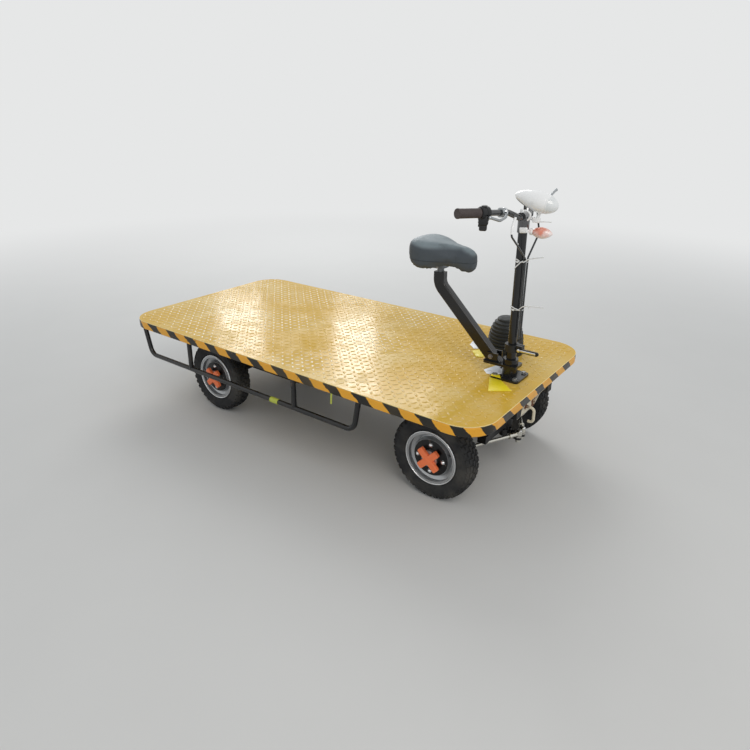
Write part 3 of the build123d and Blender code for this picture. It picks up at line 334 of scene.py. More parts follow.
@dataclass(frozen=True)
class StripedEdge(PaintedSteel):
    """Slanted warning stripes that run all round the deck's edge, corners too."""

    stripe: str = "#16150F"
    length: float = 2.0
    width: float = 1.0
    corner: float = 0.13
    repeats: int = 21
    corner_slip: float = 0.063
    start: float = 0.0741
    lean: float = 1.15
    share: float = 0.47
    low: float = 0.381

    def run(self) -> tuple[Socket, Socket]:
        """Works out how far round the deck a point lies.

        The near and far long edges count along X. The ends are turned onto the front one, and
        count round its first corner, along Y and round its second corner.

        Returns:
            The distance round the deck and the height, in metres.
        """
        calc = self.shader.calc
        x, y, z = self.shader.parts()
        long_half = self.length / 2 - self.corner
        short_half = self.width / 2 - self.corner
        along_side = calc("MULTIPLY", calc("SIGN", y), calc("MULTIPLY", x, -1.0))
        ahead = calc("SUBTRACT", calc("ABSOLUTE", x), long_half)
        across = calc("MULTIPLY", y, calc("SIGN", x))
        straight = calc("MINIMUM", calc("MAXIMUM", across, -short_half), short_half)
        angle = calc("ARCTAN2", calc("SUBTRACT", across, straight), ahead)
        stretched = self.corner + 2 * self.corner_slip / math.pi
        bend = calc("MULTIPLY", calc("ADD", angle, math.pi / 2), stretched)
        round_end = self.shader.add(bend, straight, short_half + long_half)
        return self.shader.blend(calc("GREATER_THAN", ahead, 0.0), along_side, round_end), z

    def ground(self) -> Socket:
        """Paints the two colours in stripes whose edges are slightly uneven.

        Returns:
            The colour.
        """
        shader = self.shader
        run, height = self.run()
        half_way = self.length + self.width - (4 - math.pi) * self.corner + 2 * self.corner_slip
        rise = shader.calc("MULTIPLY", shader.calc("SUBTRACT", height, self.low), self.lean)
        unsteady = shader.spots(30.0, 3.0, 0.3, 0.7, 0.010)
        shifted = shader.add(run, rise, unsteady, self.start)
        turns = shader.calc("DIVIDE", shifted, half_way / self.repeats)
        phase = shader.calc("FRACT", shader.add(turns, 100.0))
        black = shader.calc("LESS_THAN", phase, self.share)
        return shader.mix(black, self.toned(6.0, 0.86, 1.12), ink(self.stripe))


@dataclass(frozen=True)
class Metal(Finish):
    """Bare or plated metal with fine brushing, dull spots and a trace of rust."""

    roughness: float = 0.24
    tarnish: str = "#6F675C"
    tarnish_share: float = 0.25
    grain: float = 0.15
    metallic: float = 1.0

    def draw(self) -> None:
        """Sets up the shader."""
        shader = self.shader
        dull = shader.spots(14.0, 9.0, 0.50, 0.72, self.tarnish_share)
        brushed = shader.cloud(260.0, 3.0, shader.moved((1, 1, 6)))
        lines = shader.between(brushed, 0.3, 0.7, self.grain, Spread.EVEN)
        shader.wear(Base_Color=shader.mix(dull, self.toned(8.0, 0.88, 1.08), ink(self.tarnish)),
                    Metallic=self.metallic, Roughness=shader.add(lines, self.roughness, dull),
                    Normal=shader.relief(brushed, 0.0002, 0.15))


@dataclass(frozen=True)
class RustySteel(Finish):
    """Flaking old paint over brown rust."""

    paint: str = "#7A6A58"
    deep: str = "#3E2A1E"

    def draw(self) -> None:
        """Sets up the shader."""
        shader = self.shader
        flakes = shader.spots(26.0, 12.0, 0.38, 0.46)
        rust = shader.mix(shader.cloud(40.0, 8.0), ink(self.deep), ink(self.colour, 1.25))
        scale = shader.relief(shader.cloud(160.0, 8.0), 0.0012, 0.6)
        shader.wear(Base_Color=shader.mix(flakes, rust, ink(self.paint)),
                    Roughness=shader.blend(flakes, 0.88, 0.55),
                    Normal=shader.relief(flakes, 0.0005, 0.6, scale))


@dataclass(frozen=True)
class Rubber(Finish):
    """Matt rubber with road dust on it."""

    dust: str = "#7C776E"
    dustiness: float = 0.35
    roughness: float = 0.72
    grain: float = 0.35

    def draw(self) -> None:
        """Sets up the shader."""
        shader = self.shader
        film = shader.spots(9.0, 9.0, 0.40, 0.72, self.dustiness)
        shader.wear(Base_Color=shader.mix(film, self.toned(16.0, 0.75, 1.3, 5.0), ink(self.dust)),
                    Roughness=shader.add(shader.spots(60.0, 5.0, 0.3, 0.7, 0.15), self.roughness),
                    Normal=shader.relief(shader.cloud(330.0, 5.0), 0.0006, self.grain))


@dataclass(frozen=True)
class Moulding(Finish):
    """Moulded plastic with a fine texture, hand marks and a little dust."""

    dust: str = "#8E8A82"
    dustiness: float = 0.15
    roughness: float = 0.38
    grain: float = 0.18
    coat: float = 0.0

    def draw(self) -> None:
        """Sets up the shader."""
        shader = self.shader
        film = shader.spots(12.0, 8.0, 0.46, 0.74, self.dustiness)
        shader.wear(Base_Color=shader.mix(film, self.toned(10.0, 0.90, 1.08), ink(self.dust)),
                    Roughness=shader.add(shader.spots(30.0, 6.0, 0.35, 0.7, 0.18), self.roughness - 0.05),
                    Normal=shader.relief(shader.cells(900.0), 0.0003, self.grain), Coat_Weight=self.coat)


@dataclass(frozen=True)
class Lens(Finish):
    """A clear or tinted lamp lens with fine flutes, with pale patches that are a painted reflection of the
    bright reflector behind it.
    """

    # pale colour of the painted reflection in the lens
    under: str = "#F0E4D8"
    flute: float = 260.0
    # share of the pale painted reflection that shows
    clear: float = 0.35

    def draw(self) -> None:
        """Sets up the shader."""
        shader = self.shader
        waves = {"Vector": shader.place, "Scale": self.flute / 20, "Distortion": 0.6}
        # pale patches painted on: a painted reflection of the reflector
        painted_reflector_patches = shader.spots(24.0, 3.0, 0.36, 0.58, self.clear)
        shader.wear(Base_Color=shader.mix(painted_reflector_patches, self.toned(20.0, 0.85, 1.0), ink(self.under)),
                    Roughness=shader.spots(50.0, 4.0, 0.2, 0.8, 0.18), Coat_Weight=0.8, Coat_Roughness=0.04,
                    Normal=shader.relief(shader.node("TexWave", waves, "Fac"), 0.0006, 0.35))


@dataclass(frozen=True)
class Vinyl(Finish):
    """Grained seat vinyl, glossier in patches on its crown where the rider sits, the crown painted paler as
    a painted highlight of the lit top.
    """

    # crown colour: a painted highlight of the lit top
    worn_and_lit: str = "#88959A"
    crease: float = 0.908
    nose_start: float = 0.630
    nose_fall: float = 0.45
    rear_start: float = 0.500
    rear_rise: float = 0.16
    roughness: float = 0.50

    def draw(self) -> None:
        """Sets up the shader."""
        shader, calc = self.shader, self.shader.calc
        along, _, height = shader.parts()
        ahead = calc("MAXIMUM", calc("SUBTRACT", along, self.nose_start), 0.0)
        behind = calc("MAXIMUM", calc("SUBTRACT", self.rear_start, along), 0.0)
        fall = calc("SUBTRACT", calc("MULTIPLY", ahead, self.nose_fall),
                    calc("MULTIPLY", behind, self.rear_rise))
        # the crown above the crease, between the lit top and the darker side, gets the painted highlight
        crown = shader.between(shader.add(height, fall), self.crease - 0.008, self.crease + 0.010)
        patchy = calc("MULTIPLY", crown, shader.spots(16.0, 6.0, 0.10, 0.50))
        painted_top_highlight = calc("MULTIPLY", patchy, 0.80)
        pebbles = shader.relief(shader.cells(520.0), 0.0006, 0.35)
        shader.wear(Base_Color=shader.mix(painted_top_highlight, self.toned(22.0, 0.85, 1.15, 5.0), ink(self.worn_and_lit)),
                    Roughness=shader.blend(patchy, self.roughness + 0.10, self.roughness),
                    Specular_IOR_Level=0.35, Sheen_Weight=0.04, Sheen_Roughness=0.4,
                    Normal=shader.relief(shader.cloud(46.0, 7.0), 0.0015, 0.25, pebbles))


@dataclass(frozen=True)
class Film(Finish):
    """A stuck-on blank film with soiled patches and shallow wrinkles."""

    soil: str = "#8C7F6A"
    roughness: float = 0.35

    def draw(self) -> None:
        """Sets up the shader."""
        shader = self.shader
        soiled = shader.spots(24.0, 8.0, 0.50, 0.72, 0.45)
        shader.wear(Base_Color=shader.mix(soiled, self.toned(15.0, 0.9, 1.04), ink(self.soil)),
                    Normal=shader.relief(shader.cloud(60.0, 4.0), 0.0012, 0.4),
                    Roughness=shader.add(soiled, self.roughness))


@dataclass(frozen=True)
class Ground(Finish):
    """The plain pale floor, which fades into the backdrop away from the cart."""

    backdrop: str = "#E6E7E7"
    near: float = 2.0
    far: float = 6.5

    def draw(self) -> None:
        """Sets up the shader."""
        shader, calc = self.shader, self.shader.calc
        shader.wear(Base_Color=self.toned(3.0, 0.98, 1.02, 6.0), Roughness=0.9, Specular_IOR_Level=0.2)
        x, y, _ = shader.parts()
        distance = calc("SQRT", calc("ADD", calc("MULTIPLY", x, x), calc("MULTIPLY", y, y)))
        faded = calc("MULTIPLY", shader.between(distance, self.near, self.far), shader.seen())
        haze = shader.node("Emission", {"Color": ink(self.backdrop)})
        both = shader.node("MixShader", {0: faded, 1: shader.surface.outputs[0], 2: haze})
        shader.feed(shader.nodes["Material Output"], "Surface", both)


DECK_PAINT = DeckPaint("paint_deck", "#D2A831", dust="#D9CCA2", bare="#8A6C38", roughness=0.15,
                       dustiness=0.12, chip_level=0.745, coat=0.0, specular=0.20)
EDGE_STRIPES = StripedEdge("paint_edge_stripes", "#F0AC2A", dust="#B59A66", bare="#6A4A2C",
                           roughness=0.34, dustiness=0.16, chip_level=0.700, coat=0.15, specular=0.4)
FRAME_BLACK = PaintedSteel("paint_frame", "#131416", dust="#5E584F", roughness=0.46, dustiness=0.40,
                           chip_level=0.70, coat=0.0, specular=0.4)
GUARD_BLACK = PaintedSteel("paint_guard", "#0D0E10", dust="#77716A", roughness=0.28, dustiness=0.14,
                           chip_level=0.72, specular=0.45)
BOX_BLACK = PaintedSteel("paint_box", "#1A1B1E", dust="#6E685F", roughness=0.50, dustiness=0.35, coat=0.0)
BAR_BLACK = PaintedSteel("paint_bar", "#15171B", dust="#5D6062", bare="#9A9C9C", roughness=0.12,
                         dustiness=0.04, chip_level=0.76, coat=1.0, specular=0.9)
# pale bead colour: a painted highlight along the plate's edge
RIM_BEAD_HIGHLIGHT = PaintedSteel("paint_rim_highlight", "#F4DC94", dust="#D9CCA2", bare="#8A6C38", roughness=0.26,
                        dustiness=0.10, chip_level=0.73, coat=0.0)
COLUMN_BLACK = PaintedSteel("paint_column", "#090A0C", dust="#5D6062", bare="#9A9C9C", roughness=0.20,
                            dustiness=0.05, chip_level=0.75, coat=0.35, specular=0.4)
SPRING_STEEL = PaintedSteel("paint_spring", "#1D1F22", dust="#7C7468", bare="#6E4A32", roughness=0.36,
                            dustiness=0.30, chip_level=0.66, coat=0.0)
CROSS_ORANGE = PaintedSteel("paint_hub_cross", "#FF8350", dust="#B08A74", bare="#8D8D8D", roughness=0.34,
                            dustiness=0.10, chip_level=0.72, coat=0.10, specular=0.35)
NAVE_BLACK = PaintedSteel("paint_nave", "#0A0B0D", dust="#5F5C56", roughness=0.32, dustiness=0.18,
                          coat=0.0, specular=0.35)
RIM_SILVER = Metal("metal_rim", "#B4B6B8", roughness=0.30, tarnish="#6E6A62", tarnish_share=0.30)
CHROME = Metal("metal_chrome", "#ECEEF0", roughness=0.07, tarnish="#8A857C", tarnish_share=0.10, grain=0.05)
LEVER_ALLOY = Metal("metal_alloy", "#A9ADB0", roughness=0.22, tarnish_share=0.25)
PLATED = Metal("metal_plated", "#D9D7CE", roughness=0.14, tarnish="#9A8F78", tarnish_share=0.15)
BOLT_STEEL = Metal("metal_bolt", "#9FA0A0", roughness=0.32, tarnish="#6B5140", tarnish_share=0.45)
MOTOR_ALLOY = Metal("metal_motor", "#6F7274", roughness=0.46, tarnish="#4A4641", tarnish_share=0.50,
                    metallic=0.7)
OLD_RUST = RustySteel("rust_tow", "#7A4A2C", paint="#DCD3BC")
TYRE_BLACK = Rubber("rubber_tyre", "#1B1C1E", dust="#6B675F", dustiness=0.34)
GRIP_RUBBER = Rubber("rubber_grip", "#3B3231", dust="#766B67", dustiness=0.25, roughness=0.5)
BLACK_PLASTIC = Moulding("plastic_black", "#101214", roughness=0.36)
RIBBED_PLASTIC = Moulding("plastic_ribbed", "#1B1F20", dust="#4E4E48", dustiness=0.20, roughness=0.62)
CLAMP_STEEL = Metal("metal_clamp", "#6E7173", roughness=0.34, tarnish="#3B3A38", tarnish_share=0.5)
WHITE_PLASTIC = Moulding("plastic_white", "#FBFCFC", dust="#C9C8C4", dustiness=0.08, roughness=0.16,
                         coat=0.8, grain=0.05)
TIE_PLASTIC = Moulding("plastic_tie", "#E6E8E8", dustiness=0.05, roughness=0.35)
CABLE_GREY = Moulding("plastic_cable", "#2B2F33", roughness=0.26, coat=0.4, grain=0.05)
# the lenses' pale patches are a painted reflection of their reflectors
AMBER = Lens("lens_amber", "#F08E72", under="#FCF1EE", clear=0.95)
LAMP_GLASS = Lens("lens_clear", "#EAEEEF", under="#FBFCFC", flute=320.0)
SADDLE_VINYL = Vinyl("vinyl_saddle", "#4A5157")
PIPING_VINYL = Vinyl("vinyl_piping", "#3A4045", worn_and_lit="#5F6A6C")
WHITE_FILM = Film("film_white", "#E9ECEE", soil="#9AA0A6")
YELLOW_FILM = Film("film_yellow", "#F2DC1E", soil="#B48E22")
TAPE_FILM = Film("film_tape", "#B9C24A", soil="#7E7A46")


# Shapes, each made round its own origin in millimetres


def rounded(shape: BMesh, edges: Iterable[BMEdge], reach: float, steps: int = 2) -> BMesh:
    """Rounds some edges of a shape and returns it."""
    bmesh.ops.bevel(shape, geom=list(edges), offset=reach, segments=steps, profile=0.5,
                    affect="EDGES", material=-1)
    return shape


def lathe(profile: Iterable[Point], steps: int = 48, closed: bool = False) -> BMesh:
    """Turns an outline about the Z axis.

    Args:
        profile: Points as (radius, height).
        steps: The steps of a full turn.
        closed: Whether the last point joins the first.

    Returns:
        The turned shape.
    """
    shape = bmesh.new()
    verts = [shape.verts.new((radius, 0.0, height)) for radius, height in profile]
    edges = [shape.edges.new(pair) for pair in zip(verts, verts[1:])]
    if closed:
        edges.append(shape.edges.new((verts[-1], verts[0])))
    bmesh.ops.spin(shape, geom=verts + edges, cent=(0, 0, 0), axis=(0, 0, 1), angle=FULL_TURN,
                   steps=steps, use_merge=True, use_duplicate=False)
    bmesh.ops.remove_doubles(shape, verts=shape.verts, dist=0.001)
    bmesh.ops.recalc_face_normals(shape, faces=shape.faces)
    return shape


def rod(radius: float, length: float, edge: float = 0.0, sides: int = 24) -> BMesh:
    """Makes a round bar, or a prism of few sides, that stands on the origin.

    Args:
        radius: Its radius, to the corners.
        length: Its length.
        edge: The chamfer of both ends.
        sides: Its sides.

    Returns:
        The bar.
    """
    shape = bmesh.new()
    bmesh.ops.create_cone(shape, cap_ends=True, segments=sides, radius1=radius, radius2=radius,
                          depth=length, matrix=at(0, 0, length / 2))
    if edge:
        rims = [e for e in shape.edges if abs(e.verts[0].co.z - e.verts[1].co.z) < edge / 2]
        rounded(shape, rims, edge)
    return shape


def cuboid(x: float, y: float, z: float, *middle: float) -> BMesh:
    """Makes a sharp block.

    Args:
        x: Its size along X.
        y: Its size along Y.
        z: Its size along Z.
        middle: The place of its middle, or none for the origin.

    Returns:
        The block.
    """
    shape = bmesh.new()
    bmesh.ops.create_cube(shape, size=1.0, matrix=at(*middle or (0, 0, 0)) @ Matrix.Diagonal((x, y, z, 1)))
    return shape


def slab(x: float, y: float, z: float, edge: float = 1.0, steps: int = 2) -> BMesh:
    """Makes a block of three sizes with rounded edges, its middle at the origin."""
    shape = cuboid(x, y, z)
    return rounded(shape, shape.edges, edge, steps)


def hoop(major: float, minor: float, steps: int = 48, sides: int = 12) -> BMesh:
    """Makes a ring of round section about the Z axis."""
    angles = [FULL_TURN * side / sides for side in range(sides)]
    return lathe([(major + minor * math.cos(a), minor * math.sin(a)) for a in angles], steps, closed=True)


def coil(radius: float, wire_radius: float, height: float, turns: float, steps: int = 28) -> BMesh:
    """Makes a helical spring that stands on the origin.

    Args:
        radius: The radius of its middle line.
        wire_radius: The radius of its wire.
        height: Its height over all.
        turns: Its turns.
        steps: The steps of one turn.

    Returns:
        The spring.
    """
    shape = bmesh.new()
    stand = at(radius, 0, wire_radius) @ turn(90, "X")
    bmesh.ops.create_circle(shape, cap_ends=False, segments=10, radius=wire_radius, matrix=stand)
    total = round(turns * steps)
    rise = (height - 2 * wire_radius) / total
    bmesh.ops.spin(shape, geom=shape.verts[:] + shape.edges[:], cent=(0, 0, 0), axis=(0, 0, 1),
                   dvec=(0, 0, rise), angle=FULL_TURN * turns, steps=total, use_merge=False,
                   use_duplicate=False)
    bmesh.ops.holes_fill(shape, edges=shape.edges, sides=10)
    bmesh.ops.recalc_face_normals(shape, faces=shape.faces)
    return shape


def wire(points: Iterable[Point], radius: float, smooth: bool = True) -> BMesh:
    """Makes a round wire along a route.

    Args:
        points: The route.
        radius: The wire's radius.
        smooth: Whether the route is one smooth line.

    Returns:
        The wire.
    """
    line = bpy.data.curves.new("route", "CURVE")
    line.dimensions = "3D"
    line.bevel_depth = radius
    line.bevel_resolution = 3
    line.resolution_u = 10
    line.use_fill_caps = True
    route = list(points)
    spline = line.splines.new("NURBS" if smooth else "POLY")
    spline.points.add(len(route) - 1)
    for knot, point in zip(spline.points, route):
        knot.co = (*point, 1.0)
    if smooth:
        spline.order_u = 3
        spline.use_endpoint_u = True
    holder = bpy.data.objects.new("route", line)
    mesh = bpy.data.meshes.new_from_object(holder)
    shape = bmesh.new()
    shape.from_mesh(mesh)
    bpy.data.objects.remove(holder)
    bpy.data.curves.remove(line)
    bpy.data.meshes.remove(mesh)
    bmesh.ops.remove_doubles(shape, verts=shape.verts, dist=0.001)
    return shape


def hex_bolt(radius: float = 9.0, head: float = 7.0, washer: float = 1.5) -> BMesh:
    """Makes a hexagon bolt head on its washer, standing on the origin.

    Args:
        radius: The head's radius, to its corners.
        head: The head's height.
        washer: The washer's thickness.

    Returns:
        The bolt head.
    """
    shape = rod(radius, head, edge=0.8, sides=6)
    bmesh.ops.translate(shape, vec=(0, 0, washer), verts=shape.verts)
    bmesh.ops.create_cone(shape, cap_ends=True, segments=20, radius1=radius * 1.25,
                          radius2=radius * 1.25, depth=washer, matrix=at(0, 0, washer / 2))
    return shape


class Work:
    """A piece being put together in millimetres, finished as one object at the origin."""

    def __init__(self) -> None:
        """Starts with nothing."""
        self.mesh = bmesh.new()

    def add(self, shape: BMesh, *places: Matrix) -> "Work":
        """Adds a shape once at each place, and frees it.

        Args:
            shape: The shape.
            places: Its places, or none for where it is.

        Returns:
            This work.
        """
        for place in places or (Matrix.Identity(4),):
            copy = shape.copy()
            bmesh.ops.transform(copy, matrix=place, verts=copy.verts)
            carrier = bpy.data.meshes.new("carrier")
            copy.to_mesh(carrier)
            self.mesh.from_mesh(carrier)
            bpy.data.meshes.remove(carrier)
            copy.free()
        shape.free()
        return self

    def finish(self, name: str, body: str, finish: Finish, slot: Optional[str] = None,
               stands_for: Iterable[str] = (), sharp: float = 35.0) -> bpy.types.Object:
        """Turns the work into a piece that rides on a body.

        Args:
            name: The piece's name.
            body: The body it rides on.
            finish: Its finish.
            slot: Not used.
            stands_for: The CAD nodes it replaces.
            sharp: The angle past which an edge stays sharp, in degrees.

        Returns:
            The piece.
        """
        bmesh.ops.scale(self.mesh, vec=(MM, MM, MM), verts=self.mesh.verts)
        data = bpy.data.meshes.new(name)
        self.mesh.to_mesh(data)
        self.mesh.free()
        data.shade_smooth()
        data.set_sharp_from_angle(angle=math.radians(sharp))
        data.materials.append(finish.material)
        piece = bpy.data.objects.new(name, data)
        bpy.context.scene.collection.objects.link(piece)
        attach(piece, body.value if isinstance(body, Body) else body)
        if stands_for:
            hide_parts(*stands_for)
        log.info("piece %s: %d faces", name, len(data.polygons))
        return piece


# Stage


@dataclass(frozen=True)
class Studio:
    """The camera at the photograph's place, the soft lights and the pale floor."""

    camera_place: Triple = (1.776, -2.132, 1.422)
    yaw: float = 36.563
    pitch: float = 21.081
    roll: float = 0.428
    focal_pixels: float = 612.6
    middle_row: float = 344.5
    image_pixels: float = 750.0
    sensor: float = 36.0
    floor_half: float = 30.0
    sky_colour: str = "#F2F6FA"
    sky_strength: float = 0.62
    backdrop: str = "#E6E7E7"
    lights: tuple[tuple[str, Point, Point, Point, float, str], ...] = (
        # name, place, what it faces, width and height, watts, colour
        ("sky_panel", (-3.2, 3.4, 4.2), (0.0, 0.0, 0.4), (3.5, 2.5), 112.0, "#FFFFFF"),
        ("window_rear", (-4.65, 3.34, 2.42), (-0.35, -0.322, 0.422), (0.6, 0.95), 10.0, "#FFFFFF"),
        ("window_front", (-3.2, 4.1, 2.68), (0.262, -0.234, 0.422), (0.58, 1.15), 15.0, "#FFFFFF"),
        ("front_panel", (3.6, -2.4, 3.8), (0.2, 0.0, 0.4), (2.5, 2.5), 70.0, "#FFF8F0"),
    )

    def camera(self) -> None:
        """Makes the camera and frames the cart as the photograph does."""
        yaw, pitch, roll = (math.radians(a) for a in (self.yaw, self.pitch, self.roll))
        ahead = Vector((-math.sin(yaw) * math.cos(pitch), math.cos(yaw) * math.cos(pitch), -math.sin(pitch)))
        level = Vector((math.cos(yaw), math.sin(yaw), 0.0))
        upright = level.cross(ahead)
        right = math.cos(roll) * level + math.sin(roll) * upright
        up = math.cos(roll) * upright - math.sin(roll) * level
        data = bpy.data.cameras.new("camera")
        data.sensor_width = self.sensor
        data.lens = self.focal_pixels / self.image_pixels * self.sensor
        data.shift_y = (self.middle_row - self.image_pixels / 2) / self.image_pixels
        data.clip_end = 200.0
        camera = bpy.data.objects.new("camera", data)
        camera.matrix_world = at(*self.camera_place) @ Matrix((right, up, -ahead)).transposed().to_4x4()
        bpy.context.scene.collection.objects.link(camera)
        bpy.context.scene.camera = camera

    def lamps(self) -> None:
        """Makes the soft lights."""
        for name, place, target, size, power, tint in self.lights:
            data = bpy.data.lights.new(name, "AREA")
            data.shape = "RECTANGLE"
            data.size, data.size_y = size
            data.energy = power
            data.color = ink(tint)[:3]
            lamp = bpy.data.objects.new(name, data)
            lamp.matrix_world = facing(place, Vector(place) - Vector(target))
            bpy.context.scene.collection.objects.link(lamp)

    def floor(self) -> None:
        """Lays the floor."""
        shape = bmesh.new()
        bmesh.ops.create_grid(shape, x_segments=8, y_segments=8, size=self.floor_half)
        data = bpy.data.meshes.new("floor")
        shape.to_mesh(data)
        shape.free()
        data.materials.append(Ground("ground_floor", "#CFCFCD", self.backdrop).material)
        floor = bpy.data.objects.new("floor", data)
        bpy.context.scene.collection.objects.link(floor)

    def sky(self) -> None:
        """Lights the scene evenly, and shows the camera and glossy metal a pale backdrop."""
        world = bpy.data.worlds.new("studio")
        bpy.context.scene.world = world
        world.use_nodes = True
        tree = Nodes(world.node_tree)
        tree.nodes.remove(tree.nodes["Background"])
        light = tree.node("Background", {"Color": ink(self.sky_colour), "Strength": self.sky_strength})
        backdrop = tree.node("Background", {"Color": ink(self.backdrop), "Strength": 1.0})
        both = tree.node("MixShader", {0: tree.seen(), 1: light, 2: backdrop})
        tree.feed(tree.nodes["World Output"], "Surface", both)

    def build(self) -> None:
        """Sets up the whole stage."""
        bpy.context.scene.view_settings.view_transform = "Standard"
        self.camera()
        self.floor()
        self.sky()
        self.lamps()


# Deck


@dataclass(frozen=True)
class Deck:
    """The tread plate, its striped edge, the blank films near the column and the ribbed housing."""

    length: float = 1996.0
    width: float = 996.0
    corner: float = 128.0
    top: float = 422.0
    margin: float = 16.0
    pitch: float = 29.0
    lentil_size: Triple = (12.0, 5.3, 1.8)
    sink: float = 0.05
    bead: float = 1.7
    bead_drop: float = 1.7
    bead_stand: float = 0.1
    flange_x: float = 868.0
    flange_half: float = 61.0
    housing: Triple = (735.0, 235.0, 79.0)
    film_foot: float = 0.1
    film_height: float = 2.6
    film_edge: float = 0.7
    films: tuple[tuple[str, Finish, float, Route], ...] = (
        # name, finish, height that it lies on, corners
        ("film_white_plate", WHITE_FILM, 422.0, ((758, -8), (786, -37), (806, -30), (806, 74), (780, 66))),
        ("film_white_flange", WHITE_FILM, 429.0, ((809, -22), (832, -31), (850, 6), (840, 28), (809, 30))),
        ("film_yellow_plate", YELLOW_FILM, 422.0, ((811, -63), (863, -63), (938, -128), (866, -182))),
        ("film_yellow_flange", YELLOW_FILM, 429.0, ((809, -42), (841, -32), (858, -59), (814, -59))),
        ("film_white_left", WHITE_FILM, 422.0, ((575, 211), (559, 280), (606, 268), (641, 200), (613, 178))),
        ("film_yellow_left", YELLOW_FILM, 422.0, ((618, 151), (655, 209), (716, 127), (665, 99))),
    )

    def inside(self, x: float, y: float) -> bool:
        """Says whether a lentil's middle is well on the plate.

        Args:
            x: Its place along the deck.
            y: Its place across the deck.

        Returns:
            True if it is clear of the plate's outline and of what stands through it.
        """
        beyond_x = max(abs(x) - (self.length / 2 - self.corner), 0.0)
        beyond_y = max(abs(y) - (self.width / 2 - self.corner), 0.0)
        reach = self.flange_half + self.margin
        on_flange = abs(x - self.flange_x) < reach and abs(y) < reach
        housing = math.hypot(x - self.housing[0], y - self.housing[1])
        clear = housing > self.housing[2] + self.margin
        return math.hypot(beyond_x, beyond_y) <= self.corner - self.margin and clear and not on_flange

    def lentil(self) -> BMesh:
        """Makes one raised lentil of the tread pattern, a low dome that lies along X.

        Returns:
            The lentil, the middle of its foot at the origin.
        """
        shape = bmesh.new()
        bmesh.ops.create_circle(shape, cap_ends=True, segments=10, radius=1.0)
        crown = shape.faces[:]
        for inward, upward in ((0.14, 0.56), (0.22, 0.30), (0.28, 0.14)):
            bmesh.ops.inset_region(shape, faces=crown, thickness=inward, use_boundary=True,
                                   use_even_offset=True)
            bmesh.ops.translate(shape, vec=(0, 0, upward), verts=crown[0].verts)
        bmesh.ops.scale(shape, vec=self.lentil_size, verts=shape.verts)
        return shape

    def rim(self) -> None:
        """Runs a fine bead along the plate's edge, all round the deck, painted pale as a painted highlight
        of the edge.
        """
        half_x, half_y = self.length / 2 - self.corner, self.width / 2 - self.corner
        reach, height = self.corner + self.bead_stand, self.top - self.bead_drop
        route = []
        middles = ((half_x, half_y), (-half_x, half_y), (-half_x, -half_y), (half_x, -half_y))
        for number, (x, y) in enumerate(middles):
            for step in range(13):
                angle = math.radians(90 * number + 7.5 * step)
                route.append((x + reach * math.cos(angle), y + reach * math.sin(angle), height))
        # pale bead, a painted highlight along the plate's edge
        Work().add(wire(route + route[:1], self.bead, smooth=False)).finish(
            "deck_rim_highlight", Body.CHASSIS, RIM_BEAD_HIGHLIGHT, "deck_paint")

    def tread(self) -> None:
        """Covers the plate with lentils, each turned across its neighbours."""
        places = []
        columns = int(self.length / self.pitch / 2)
        rows = int(self.width / self.pitch / 2)
        for column in range(-columns, columns + 1):
            for row in range(-rows, rows + 1):
                x, y = column * self.pitch, row * self.pitch
                if self.inside(x, y):
                    slant = 45 if (column + row) % 2 else -45
                    places.append(at(x, y, self.top - self.sink) @ turn(slant, "Z"))
        Work().add(self.lentil(), *places).finish("deck_tread", Body.CHASSIS, DECK_PAINT, "deck_paint")

    def film(self, name: str, finish: Finish, height: float, corners: Iterable[Point]) -> None:
        """Sticks a thin blank film on the plate or on the column's flange.

        Args:
            name: The piece's name.
            finish: Its finish.
            height: The height that it lies on, less the lentils.
            corners: Its corners as (x, y), in order.
        """
        shape = bmesh.new()
        ring = [shape.verts.new((x, y, height + self.film_foot)) for x, y in corners]
        face = bmesh.ops.contextual_create(shape, geom=ring)["faces"]
        grown = bmesh.ops.extrude_face_region(shape, geom=face)["geom"]
        upper = [v for v in grown if isinstance(v, BMVert)]
        bmesh.ops.translate(shape, vec=(0, 0, self.film_height), verts=upper)
        bmesh.ops.recalc_face_normals(shape, faces=shape.faces)
        Work().add(rounded(shape, shape.edges, self.film_edge)).finish(name, Body.CHASSIS, finish)

    def build(self) -> None:
        """Builds the deck's pieces and finishes its nodes."""
        DECK_PAINT.on("deck_plate")
        EDGE_STRIPES.on("deck_frame")
        RIBBED_PLASTIC.on("ribbed_box")
        self.tread()
        self.rim()
        for film in self.films:
            self.film(*film)


# Underframe, guards and axles


